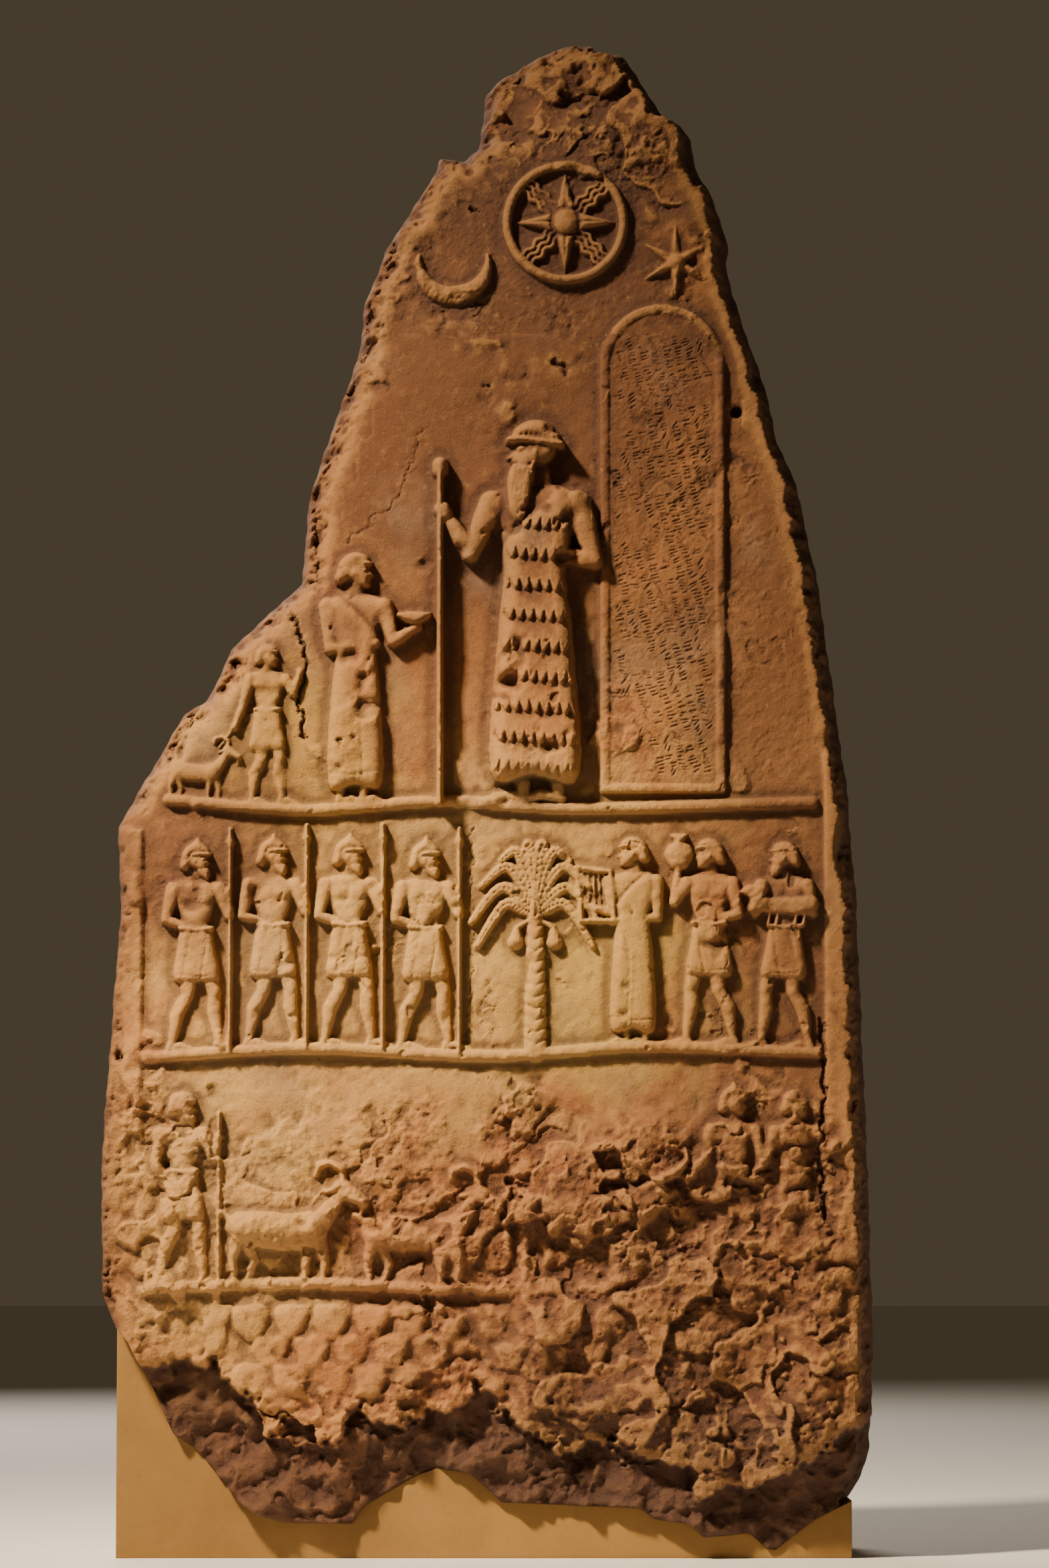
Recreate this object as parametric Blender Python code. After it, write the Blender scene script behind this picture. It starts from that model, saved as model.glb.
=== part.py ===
"""A broken stone stele carved in relief, seated in a cast block that follows its lower break.

Metres, +Z up. The carved face looks along -Y, and the origin is the centre of the block's underside.
Places on the stone are hundredths of its own height, from its lowest point, with x from the block's middle.
"""
import math

import bmesh
import bpy
import numpy as np

STONE_HEIGHT = 2.0
STONE_DEPTH = 0.28
FLANK_WIDTH = 0.024  # how far the right flank spreads behind the edge of the carved face
FLANK_DROP = 0.10
BROKEN_EDGE_WIDTH = 0.040  # the rounded break along the left shoulder and the top
BROKEN_EDGE_DROP = 0.080
BACK_EDGE_WIDTH = 0.09
BACK_EDGE_DROP = 0.055
LOST_LAYER = 0.036  # depth lost below the lower break line
BREAK_STEP = 0.014
TOP_LEAN = 0.020  # how far the rough top falls back
SURFACE_SWELL = 0.004
EROSION_DEPTH = 0.009
BORDER_LIFT = 0.006
GROUND_LINE_RADIUS = 0.009
GROUND_LINE_LIFT = 0.012
PANEL_LIFT = 0.006
HOLE_BORE = 0.015
HOLE_DEPTH = 0.030
GOUGE_DEPTH = 0.030
SUPPORT_UNDER = 0.012  # block left under the stone's lowest point
SUPPORT_SETBACK = 0.045  # from the carved face back to the block's front
SUPPORT_BACK_REACH = 0.015  # how far the block stands out behind the stone
SUPPORT_SIDE_INSET = 0.002
SEAT_CLEARANCE = 0.0005
GRID_STEP = 0.0055
STONE_TRIANGLES = 7400

UNIT = STONE_HEIGHT / 100
FACE_Y = -STONE_DEPTH / 2

LEFT_SIDE = [(-24.5, 14.6), (-25.3, 16.7), (-25.4, 25.4), (-24.2, 42.3), (-24.5, 47.2), (-22.6, 50.9),
             (-20.3, 54.9), (-18.7, 55.8), (-17.2, 59.2), (-12.5, 63.6), (-12.0, 69.5), (-8.6, 79.4),
             (-8.4, 82.3), (-6.8, 86.2), (-3.6, 91.3), (-3.4, 92.2), (-1.7, 92.0), (-0.8, 93.0), (-0.3, 97.0),
             (0.9, 98.3), (5.2, 100.0)]
RIGHT_SIDE = [(8.2, 99.9), (9.0, 99.7), (11.6, 95.5), (12.8, 94.9), (13.5, 93.9), (13.8, 91.7), (14.7, 90.3),
              (16.0, 86.7), (15.8, 85.1), (16.3, 83.1), (18.5, 76.6), (19.2, 73.3), (20.5, 70.3), (21.9, 63.6),
              (23.7, 50.3), (24.3, 43.3), (25.0, 24.9), (25.3, 13.2), (25.1, 6.3), (24.6, 4.6), (23.8, 3.3)]
SEAT = [(23.8, 3.3), (21.3, 2.0), (18.7, 0.0), (18.1, 0.1), (17.0, 1.1), (14.0, 0.8), (13.0, 1.7), (10.7, 2.0),
        (9.9, 2.7), (0.8, 3.1), (-1.3, 5.0), (-3.4, 5.3), (-4.8, 4.8), (-8.3, 2.8), (-8.9, 1.7), (-13.5, 1.8),
        (-15.2, 2.3), (-16.4, 3.2), (-19.1, 6.5), (-20.6, 7.5), (-23.5, 13.5), (-24.5, 14.6)]
BREAK_LINE = [(-26.5, 14.0), (-21.8, 12.0), (-19.6, 11.9), (-17.9, 12.9), (-17.0, 10.6), (-15.5, 9.3),
              (-12.5, 9.2), (-13.9, 6.9), (-10.6, 6.8), (-8.5, 9.2), (-5.2, 8.3), (-0.3, 10.3), (2.4, 7.6),
              (5.1, 6.5), (9.5, 6.7), (14.1, 4.0), (16.3, 3.8), (19.2, 5.0), (26.5, 9.3)]

UPPER_GROUND = [(-21.0, 48.9), (-12.0, 48.2), (-3.0, 48.8), (6.0, 48.3), (21.2, 48.7)]
MIDDLE_GROUND = [(-22.4, 32.0), (-12.0, 32.6), (0.0, 32.1), (10.0, 32.7), (21.6, 32.3)]
LOWER_GROUND = [(-22.6, 16.9), (-12.0, 17.3), (0.0, 16.8), (10.0, 17.4), (21.6, 17.1)]
LEADER_HEIGHT = 25.0
ATTENDANT_HEIGHTS = [16.5, 10.5]
MIDDLE_HEIGHT = 13.5
LOWER_HEIGHT = 12.5
PANEL_MIDDLE, PANEL_HALF_WIDTH, PANEL_FOOT, PANEL_SPRING = 11.4, 3.8, 49.6, 77.6
HOLE_PLACE = (16.3, 74.6)


def make_material(name, colour, roughness):
    material = bpy.data.materials.new(name)
    material.use_nodes = True
    shader = material.node_tree.nodes["Principled BSDF"]
    shader.inputs["Base Color"].default_value = (*colour, 1)
    shader.inputs["Roughness"].default_value = roughness
    shader.inputs["Metallic"].default_value = 0
    material.diffuse_color = (*colour, 1)
    return material


def to_metres(points):
    return [(x * UNIT, SUPPORT_UNDER + z * UNIT) for x, z in points]


def smooth_step(value):
    value = np.clip(value, 0, 1)
    return value * value * (3 - 2 * value)


def rounded(points, per_span=5, closed=True):
    """Points of a smooth curve through the given ones."""
    given = np.array(points, float)
    count = len(given)
    steps = np.linspace(0, 1, per_span, endpoint=False)[:, None]
    made = []
    for k in range(count if closed else count - 1):
        before = given[k - 1] if closed or k > 0 else given[0]
        start, end = given[k], given[(k + 1) % count]
        after = given[(k + 2) % count] if closed or k + 2 < count else given[-1]
        made.append(start + 0.5 * steps * (end - before)
                    + steps ** 2 * (before - 2.5 * start + 2 * end - 0.5 * after)
                    + steps ** 3 * (0.5 * (after - before) + 1.5 * (start - end)))
    return np.concatenate(made if closed else [*made, given[-1:]])


def line_distance(x, z, points, closed=False):
    """Distance from each place to a line through the points, and whether the place is inside a closed one."""
    points = np.array(points, float)
    starts, ends = (points, np.roll(points, -1, axis=0)) if closed else (points[:-1], points[1:])
    nearest = np.full(x.shape, np.inf)
    inside = np.zeros(x.shape, bool)
    for (ax, az), (bx, bz) in zip(starts, ends):
        dx, dz = bx - ax, bz - az
        along = np.clip(((x - ax) * dx + (z - az) * dz) / (dx * dx + dz * dz + 1e-12), 0, 1)
        nearest = np.minimum(nearest, np.hypot(x - ax - along * dx, z - az - along * dz))
        if az != bz:
            inside ^= ((az > z) != (bz > z)) & (x < (bx - ax) * (z - az) / (bz - az) + ax)
    return nearest, inside


class Relief:
    """Heights that stand out from the stone's face, on a grid of places in hundredths of its height."""

    def __init__(self, x, z):
        self.x, self.z = x, z
        self.height = np.zeros(x.shape)

    def near(self, points, margin):
        points = np.array(points, float)
        low, high = points.min(axis=0) - margin, points.max(axis=0) + margin
        columns = slice(*np.searchsorted(self.x[0], [low[0], high[0]]))
        rows = slice(*np.searchsorted(self.z[:, 0], [low[1], high[1]]))
        return (rows, columns), self.x[rows, columns], self.z[rows, columns]

    def raise_to(self, where, height):
        self.height[where] = np.maximum(self.height[where], height)

    def limb(self, points, radii, lift, base=0.0):
        """A rounded ridge through the points, as thick at each as its radius says."""
        radii = np.broadcast_to(radii, len(points))
        where, x, z = self.near(points, max(radii))
        for (ax, az), (bx, bz), start, end in zip(points, points[1:], radii, radii[1:]):
            dx, dz = bx - ax, bz - az
            along = np.clip(((x - ax) * dx + (z - az) * dz) / (dx * dx + dz * dz + 1e-12), 0, 1)
            across = np.hypot(x - ax - along * dx, z - az - along * dz) / (start + along * (end - start))
            self.raise_to(where, np.where(across < 1, base + lift * np.sqrt(1 - np.clip(across, 0, 1) ** 2), 0))

    def plate(self, outline, lift, bevel, base=0.0, smooth=True):
        """A raised shape with rounded edges."""
        outline = rounded(outline) if smooth else outline
        where, x, z = self.near(outline, 0)
        distance, inside = line_distance(x, z, outline, closed=True)
        edge = 1 - np.clip(distance / bevel, 0, 1)
        self.raise_to(where, np.where(inside, base + lift * np.sqrt(1 - edge ** 2), 0))

    def groove(self, points, width, depth):
        where, x, z = self.near(points, width)
        distance, _ = line_distance(x, z, points)
        self.height[where] -= depth * np.clip(1 - (distance / width) ** 2, 0, 1)


class Figure:
    """Carves in shares of a figure's own height, turned round where it faces left."""

    def __init__(self, relief, x, ground, height, facing=1):
        self.relief, self.x, self.height, self.facing = relief, x, height, facing
        self.ground = np.interp(x, *zip(*ground))

    def place(self, points):
        return [(self.x + self.facing * self.height * u, self.ground + self.height * v) for u, v in points]

    def limb(self, points, radii, lift, base=0.0):
        deep = self.height * UNIT
        self.relief.limb(self.place(points), np.array(radii) * self.height, lift * deep, base * deep)

    def plate(self, outline, lift, bevel, base=0.0):
        deep = self.height * UNIT
        self.relief.plate(self.place(outline), lift * deep, bevel * self.height, base * deep)

    def groove(self, points, width, depth):
        self.relief.groove(self.place(points), width * self.height, depth * self.height * UNIT)


def carve_head(figure, cover, bearded):
    figure.limb([(0.0, 0.84), (0.0, 0.90)], 0.040, 0.034)
    figure.plate([(0.01, 0.995), (0.05, 0.975), (0.062, 0.935), (0.074, 0.915), (0.062, 0.885), (0.045, 0.862),
                  (-0.01, 0.872), (-0.055, 0.915), (-0.055, 0.965)], 0.044, 0.030, 0.010)
    if cover == "cap":
        figure.plate([(0.062, 0.958), (0.04, 1.0), (0.0, 1.015), (-0.05, 0.995), (-0.068, 0.95), (0.0, 0.955)],
                     0.050, 0.025, 0.014)
    elif cover == "helmet":
        figure.plate([(0.062, 0.958), (0.03, 1.01), (0.0, 1.045), (-0.04, 1.005), (-0.075, 0.95), (-0.075, 0.89),
                      (-0.045, 0.885), (-0.02, 0.95)], 0.050, 0.025, 0.014)
    else:
        figure.plate([(0.055, 0.965), (0.02, 1.01), (-0.04, 1.0), (-0.07, 0.95), (-0.09, 0.90), (-0.05, 0.88),
                      (-0.015, 0.94)], 0.048, 0.025, 0.010)
    if bearded:
        length = 0.11 if figure.height >= LEADER_HEIGHT else 0.05
        figure.plate([(0.060, 0.895), (0.068, 0.86 - length / 2), (0.045, 0.86 - length), (0.015, 0.865 - length),
                      (-0.005, 0.87), (0.02, 0.90)], 0.052, 0.02, 0.020)


def carve_torso(figure):
    figure.plate([(-0.125, 0.795), (-0.05, 0.842), (0.05, 0.842), (0.125, 0.795), (0.095, 0.70), (0.068, 0.61),
                  (0.08, 0.52), (-0.08, 0.52), (-0.068, 0.61), (-0.095, 0.70)], 0.042, 0.055, 0.006)


def carve_arm(figure, shoulder, elbow, hand):
    figure.limb([(shoulder, 0.79), elbow], [0.037, 0.027], 0.036, 0.018)
    figure.limb([elbow, hand], [0.027, 0.021], 0.032, 0.020)


def carve_walker(figure, cover="hair", bearded=False, front=((0.15, 0.63), (0.10, 0.72)),
                 rear=((-0.14, 0.63), (-0.02, 0.62)), stride=0.12):
    """A man in a kilt, with head and legs from the side and the chest from the front."""
    for way, knee in ((1, 0.075), (-1, -0.045)):
        ankle = way * stride * 0.93
        figure.limb([(way * 0.028, 0.50), (knee, 0.28)], [0.052, 0.036], 0.040)
        figure.limb([(knee, 0.28), (ankle, 0.04)], [0.037, 0.022], 0.035)
        figure.limb([(ankle - 0.015, 0.018), (ankle + 0.10, 0.012)], [0.020, 0.014], 0.028)
    carve_torso(figure)
    figure.plate([(-0.075, 0.605), (0.075, 0.605), (0.094, 0.50), (0.118, 0.355), (0.0, 0.338), (-0.104, 0.343),
                  (-0.094, 0.50)], 0.046, 0.04, 0.010)
    figure.limb([(-0.074, 0.598), (0.074, 0.598)], 0.016, 0.052, 0.014)
    carve_head(figure, cover, bearded)
    carve_arm(figure, -0.112, *rear)
    carve_arm(figure, 0.112, *front)


def carve_robed(figure, cover="cap", bearded=False, front=((0.15, 0.66), (0.13, 0.75)),
                rear=((-0.15, 0.64), (-0.03, 0.66)), flounces=0):
    """A figure in a long robe, with the hem clear of the feet."""
    figure.limb([(-0.07, 0.015), (0.05, 0.015)], [0.018, 0.012], 0.028)
    figure.limb([(0.02, 0.015), (0.14, 0.015)], [0.018, 0.012], 0.028)
    carve_torso(figure)
    figure.plate([(-0.118, 0.80), (0.0, 0.80), (0.085, 0.70), (0.088, 0.60), (0.10, 0.45), (0.115, 0.08),
                  (0.0, 0.065), (-0.115, 0.075), (-0.10, 0.45), (-0.085, 0.60)], 0.048, 0.05, 0.012)
    for row in range(flounces):
        low = 0.12 + row * (0.66 / flounces)
        half = np.interp(low, [0.08, 0.45, 0.60, 0.80], [0.105, 0.090, 0.078, 0.090])
        figure.groove([(-half, low + 0.012), (0.0, low), (half, low + 0.012)], 0.016, 0.016)
    if not flounces:
        figure.groove([(0.075, 0.62), (0.02, 0.45), (0.03, 0.08)], 0.014, 0.012)
        figure.groove([(-0.105, 0.12), (0.105, 0.12)], 0.014, 0.010)
    carve_head(figure, cover, bearded)
    carve_arm(figure, -0.112, *rear)
    carve_arm(figure, 0.112, *front)


def carve_pole(figure, u, low, high, blade=0.0):
    figure.limb([(u, low), (u, high)], 0.012, 0.042, 0.012)
    if blade:
        figure.limb([(u, high - blade), (u, high - blade / 2), (u, high)], [0.012, 0.024, 0.006], 0.044, 0.010)


def carve_jar(figure, u, v, tall):
    figure.plate([(u - tall * 0.2, v), (u + tall * 0.2, v), (u + tall * 0.42, v + tall * 0.4),
                  (u + tall * 0.22, v + tall * 0.8), (u + tall * 0.26, v + tall), (u - tall * 0.26, v + tall),
                  (u - tall * 0.22, v + tall * 0.8), (u - tall * 0.42, v + tall * 0.4)], 0.046, tall * 0.3, 0.02)


def carve_beast(figure, stout=1.0):
    """A goat, or a bull where it is stout, from the side. Its height here is its length from chest to rump."""
    for hip, knee, hoof in ((0.36, 0.42, 0.40), (-0.38, -0.30, -0.36), (0.24, 0.22, 0.22), (-0.46, -0.52, -0.50)):
        figure.limb([(hip, 0.42), (knee, 0.21), (hoof, 0.03)], [0.10 * stout, 0.05, 0.04], 0.08)
    figure.plate([(0.46, 0.58), (0.40, 0.74), (0.10, 0.70), (-0.30, 0.73), (-0.52, 0.70), (-0.60, 0.55),
                  (-0.50, 0.40), (-0.20, 0.32), (0.20, 0.30), (0.42, 0.40)], 0.135, 0.20, 0.02)
    if stout > 1:
        figure.limb([(0.34, 0.60), (0.60, 0.72)], [0.19, 0.14], 0.14, 0.02)
        figure.plate([(0.52, 0.84), (0.70, 0.86), (0.88, 0.62), (0.78, 0.50), (0.62, 0.62)], 0.13, 0.09, 0.04)
        figure.limb([(0.60, 0.85), (0.70, 0.98), (0.66, 1.08)], [0.045, 0.035, 0.016], 0.10, 0.03)
    else:
        figure.limb([(0.38, 0.62), (0.54, 0.82), (0.58, 0.92)], [0.13, 0.085, 0.07], 0.12, 0.02)
        figure.plate([(0.50, 0.98), (0.60, 1.04), (0.72, 0.97), (0.86, 0.82), (0.70, 0.78), (0.56, 0.84)],
                     0.10, 0.06, 0.04)
        figure.limb([(0.60, 1.02), (0.54, 1.16), (0.40, 1.20), (0.34, 1.08)], [0.045, 0.040, 0.034, 0.020], 0.10)
    figure.limb([(-0.57, 0.66), (-0.66, 0.60 if stout > 1 else 0.72)], [0.04, 0.025], 0.08)


def carve_palm(figure):
    figure.limb([(0, 0), (0, 0.64)], [0.058, 0.040], 0.042)
    for notch in range(6):
        v = 0.06 + 0.095 * notch
        figure.groove([(-0.05, v + 0.03), (0, v), (0.05, v + 0.03)], 0.018, 0.012)
    for side in (-1, 1):
        figure.limb([(side * 0.03, 0.61), (side * 0.09, 0.52)], [0.02, 0.04], 0.05)
        for rise, reach, droop in ((0.30, 0.05, 0.02), (0.27, 0.16, 0.04), (0.20, 0.25, 0.09), (0.09, 0.30, 0.16)):
            spine = rounded([(0, 0.63), (side * reach * 0.2, 0.65 + rise * 0.6), (side * reach * 0.55, 0.66 + rise),
                             (side * reach, 0.66 + rise - droop)], 3, closed=False)
            figure.limb(spine, np.linspace(0.034, 0.020, len(spine)), 0.036, 0.006)


def carve_rays(relief, middle, radius, count, lift):
    """A disc with a boss and pointed rays."""
    mx, mz = middle
    turns = np.linspace(0, 2 * math.pi, 25)
    relief.limb([(mx, mz), (mx, mz + 1e-3)], radius * 0.24, lift * 1.3)
    for ray in range(count):
        angle = 2 * math.pi * ray / count
        tip = (mx + radius * 0.80 * math.sin(angle), mz + radius * 0.80 * math.cos(angle))
        relief.limb([(mx, mz), tip], [radius * 0.20, radius * 0.05], lift)
    if count == 8:
        rim = [(mx + radius * 0.94 * math.cos(t), mz + radius * 0.94 * math.sin(t)) for t in turns]
        relief.limb(rim, radius * 0.09, lift)


def carve_crescent(relief, middle, radius, lift):
    angles = np.linspace(math.radians(170), math.radians(370), 15)
    thick = radius * (0.07 + 0.24 * np.sin(np.linspace(0, math.pi, len(angles))))
    arc = [(middle[0] + radius * math.cos(a), middle[1] + radius * math.sin(a)) for a in angles]
    relief.limb(arc, thick, lift)


def carve_sky(relief):
    carve_rays(relief, (5.0, 87.2), 4.1, 8, 0.014)
    carve_rays(relief, (12.3, 84.6), 2.5, 6, 0.012)
    carve_crescent(relief, (-2.4, 84.6), 2.3, 0.013)


def carve_panel(relief):
    """The raised panel for an inscription, with a round top and a rim."""
    arch = [(PANEL_MIDDLE + PANEL_HALF_WIDTH * math.cos(a), PANEL_SPRING + PANEL_HALF_WIDTH * math.sin(a))
            for a in np.linspace(0, math.pi, 13)]
    left, right = PANEL_MIDDLE - PANEL_HALF_WIDTH, PANEL_MIDDLE + PANEL_HALF_WIDTH
    relief.plate([(right, PANEL_FOOT), *arch, (left, PANEL_FOOT)], PANEL_LIFT, 0.3, smooth=False)
    relief.limb([(right, PANEL_FOOT), *arch, (left, PANEL_FOOT), (right, PANEL_FOOT)], 0.36, PANEL_LIFT,
                PANEL_LIFT * 0.6)


def carve_upper_row(relief):
    """The leader, with two attendants and a kid brought to him."""
    leader = Figure(relief, 3.0, UPPER_GROUND, LEADER_HEIGHT, -1)
    carve_pole(leader, 0.25, 0.0, 0.88)
    carve_robed(leader, "cap", True, ((0.17, 0.66), (0.235, 0.76)), ((-0.155, 0.64), (-0.02, 0.66)), 8)
    bowl_bearer = Figure(relief, -8.8, UPPER_GROUND, ATTENDANT_HEIGHTS[0])
    carve_robed(bowl_bearer, "hair", False, ((0.15, 0.65), (0.23, 0.70)), ((-0.10, 0.62), (0.06, 0.64)))
    bowl_bearer.plate([(0.19, 0.715), (0.26, 0.715), (0.29, 0.76), (0.16, 0.76)], 0.045, 0.02, 0.03)
    kid_bearer = Figure(relief, -14.6, UPPER_GROUND, ATTENDANT_HEIGHTS[1])
    carve_walker(kid_bearer, "hair", False, ((0.16, 0.70), (0.20, 0.82)), ((-0.15, 0.62), (-0.20, 0.50)), 0.10)
    carve_beast(Figure(relief, -19.2, UPPER_GROUND, 3.4))


def carve_middle_row(relief):
    """Four spearmen towards a palm, and three bearers towards them."""
    for x in (-19.2, -14.2, -9.2, -4.2):
        spearman = Figure(relief, x, MIDDLE_GROUND, MIDDLE_HEIGHT)
        carve_pole(spearman, 0.165, 0.0, 1.08, 0.10)
        carve_walker(spearman, "helmet", True, ((0.16, 0.66), (0.155, 0.76)), ((-0.145, 0.64), (-0.03, 0.60)))
    carve_palm(Figure(relief, 3.0, MIDDLE_GROUND, 14.0))
    lyre_player = Figure(relief, 9.4, MIDDLE_GROUND, MIDDLE_HEIGHT, -1)
    carve_robed(lyre_player, "hair", False, ((0.10, 0.64), (0.18, 0.66)), ((-0.12, 0.62), (0.08, 0.60)))
    lyre_player.limb([(0.09, 0.60), (0.11, 0.84), (0.27, 0.86), (0.25, 0.60), (0.09, 0.60)], 0.016, 0.036, 0.022)
    jar_bearer = Figure(relief, 14.4, MIDDLE_GROUND, MIDDLE_HEIGHT, -1)
    carve_walker(jar_bearer, "hair", False, ((0.17, 0.70), (0.15, 0.86)), ((-0.14, 0.64), (-0.02, 0.62)))
    carve_jar(jar_bearer, 0.145, 0.86, 0.17)
    lamb_bearer = Figure(relief, 19.3, MIDDLE_GROUND, MIDDLE_HEIGHT, -1)
    carve_walker(lamb_bearer, "hair", True, ((0.14, 0.66), (0.06, 0.70)), ((-0.14, 0.66), (-0.04, 0.68)))
    lamb_bearer.plate([(-0.15, 0.74), (0.10, 0.74), (0.17, 0.80), (0.20, 0.76), (0.16, 0.70), (0.08, 0.65),
                       (-0.13, 0.65)], 0.046, 0.04, 0.03)


def carve_lower_row(relief):
    """A herdsman with two goats, a bull, and two men who walk before it."""
    herdsman = Figure(relief, -20.0, LOWER_GROUND, LOWER_HEIGHT)
    carve_pole(herdsman, 0.19, 0.0, 0.90)
    carve_walker(herdsman, "hair", True, ((0.16, 0.66), (0.18, 0.76)), ((-0.14, 0.64), (-0.08, 0.52)))
    for x in (-13.4, -4.6):
        carve_beast(Figure(relief, x, LOWER_GROUND, 6.4))
    carve_beast(Figure(relief, 6.4, LOWER_GROUND, 8.0), 1.25)
    for x, cover in ((15.9, "helmet"), (20.0, "hair")):
        walker = Figure(relief, x, LOWER_GROUND, LOWER_HEIGHT)
        carve_walker(walker, cover, False, ((0.15, 0.64), (0.20, 0.72)), ((-0.15, 0.64), (-0.22, 0.56)))


def carve_borders(relief):
    """The plain strips along both edges of the face, and the ground lines."""
    relief.plate([(-24.0, 27.0), (-24.0, 47.0), (-22.7, 47.0), (-22.7, 27.0)], BORDER_LIFT, 0.4, smooth=False)
    relief.plate([(21.9, 14.0), (21.9, 52.0), (24.0, 52.0), (24.6, 14.0)], BORDER_LIFT, 0.4, smooth=False)
    for ground in (UPPER_GROUND, MIDDLE_GROUND, LOWER_GROUND):
        relief.limb(rounded(ground, 6, closed=False), GROUND_LINE_RADIUS / UNIT, GROUND_LINE_LIFT)


def carve_hill(relief):
    """What is left of a scaled hill under the lowest ground line."""
    for row in range(3):
        for column in range(11):
            x = -15.5 + 2.6 * column + 1.3 * (row % 2)
            z = 15.6 - 1.9 * row
            relief.plate([(x - 1.2, z), (x, z + 0.4), (x + 1.2, z), (x + 0.8, z - 1.5), (x, z - 2.0),
                          (x - 0.8, z - 1.5)], 0.007 - 0.001 * row, 0.5)


def softened(height):
    """Each height shared with its neighbours, so that no edge stands upright."""
    for axis in (0, 1):
        height = (np.roll(height, 1, axis) + 2 * height + np.roll(height, -1, axis)) / 4
    return height


def carved_height(x, z):
    relief = Relief(x, z)
    for carve in (carve_hill, carve_borders, carve_sky, carve_panel, carve_upper_row, carve_middle_row,
                  carve_lower_row):
        carve(relief)
    worn = 1 - 0.55 * smooth_step((22 - z) / 16) * smooth_step((x + 8) / 12)
    return softened(relief.height * worn)


def waves(x, z, length):
    """An uneven surface between -1 and 1, made of crossing waves."""
    made = np.zeros(x.shape)
    for turn, stretch in enumerate((1.0, 1.31, 0.73, 1.77, 0.58)):
        angle = 0.6 + 1.9 * turn
        phase = (x * math.cos(angle) + z * math.sin(angle)) * 2 * math.pi / (length * stretch)
        made += np.sin(phase + 1.7 * turn + np.sin(phase * 0.37 + turn))
    return made / 5


def depth_inside(x, z):
    """How far in from the stone's sides and top each place lies, in metres, and 0 outside them."""
    sides = [*LEFT_SIDE, *RIGHT_SIDE]
    distance, _ = line_distance(x, z, sides)
    _, inside = line_distance(x, z, [*sides, (RIGHT_SIDE[-1][0], -5), (LEFT_SIDE[0][0], -5)], closed=True)
    return np.where(inside, distance, 0) * UNIT


def edge_profile(x, z):
    """How far the face falls back towards the broken edge on the left and top, and the flank on the right."""
    distance = depth_inside(x, z)
    left = x < np.interp(z, [0, 50, 75, 92, 100], [0, 1, 5, 6, 7])
    broken = np.interp(z, [0, 46, 51, 100], [0.3, 0.3, 1.0, 0.8])
    from_left = 1 - np.clip(distance / (BROKEN_EDGE_WIDTH * broken), 0, 1)
    fall_left = BROKEN_EDGE_DROP * broken * from_left ** 2.4
    fall_right = FLANK_DROP * (1 - np.clip(distance / FLANK_WIDTH, 0, 1))
    return np.where(left, fall_left, fall_right), distance


def lost_layer(x, z):
    """How far the stone falls back below the lower break line."""
    distance, _ = line_distance(x, z, BREAK_LINE)
    line_z = np.interp(x, *zip(*sorted(BREAK_LINE)))
    below = np.where(z < line_z, distance, -distance) * UNIT
    return LOST_LAYER * smooth_step(below / BREAK_STEP + 0.5)


def face_recess(x, z):
    fall, distance = edge_profile(x, z)
    inner = smooth_step(distance / BROKEN_EDGE_WIDTH)
    eroded = smooth_step((30 - z) / 20) + smooth_step((z - 86) / 8)
    recess = fall + lost_layer(x, z)
    recess -= SURFACE_SWELL * waves(x, z, 26) * inner
    recess += EROSION_DEPTH * eroded * (0.5 - waves(x, z, 5.2)) * inner
    recess += TOP_LEAN * smooth_step((z - 88) / 12)
    top_left = smooth_step((3.5 - x) / 3) * smooth_step((z - 92) / 2)
    recess += BROKEN_EDGE_WIDTH * top_left
    gouge = ((x - 23.4) / 0.9) ** 2 + ((z - 45.8) / 2.6) ** 2
    recess += GOUGE_DEPTH * np.clip(1 - gouge, 0, 1)
    return recess


def back_recess(x, z):
    from_edge = 1 - np.clip(depth_inside(x, z) / BACK_EDGE_WIDTH, 0, 1)
    return BACK_EDGE_DROP * from_edge ** 2 + SURFACE_SWELL * (1 - waves(x, z, 31))


def outline_prism(name, outline, low_y, high_y):
    """A closed solid that runs along Y with the given outline, as a mesh."""
    curve = bpy.data.curves.new(name, "CURVE")
    curve.dimensions = "2D"
    curve.fill_mode = "BOTH"
    curve.extrude = (high_y - low_y) / 2
    spline = curve.splines.new("POLY")
    spline.points.add(len(outline) - 1)
    for point, (x, z) in zip(spline.points, outline):
        point.co = (x, z, 0, 1)
    spline.use_cyclic_u = True
    guide = bpy.data.objects.new(name + "_curve", curve)
    guide.rotation_euler.x = math.radians(90)
    guide.location.y = (low_y + high_y) / 2
    bpy.context.scene.collection.objects.link(guide)
    bpy.context.view_layer.update()
    graph = bpy.context.evaluated_depsgraph_get()
    mesh = bpy.data.meshes.new_from_object(guide.evaluated_get(graph))
    mesh.transform(guide.matrix_world)
    bpy.data.objects.remove(guide)
    shape = bmesh.new()
    shape.from_mesh(mesh)
    bmesh.ops.remove_doubles(shape, verts=shape.verts, dist=1e-5)
    bmesh.ops.recalc_face_normals(shape, faces=shape.faces)
    shape.to_mesh(mesh)
    shape.free()
    return bpy.data.objects.new(name, mesh)


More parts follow.
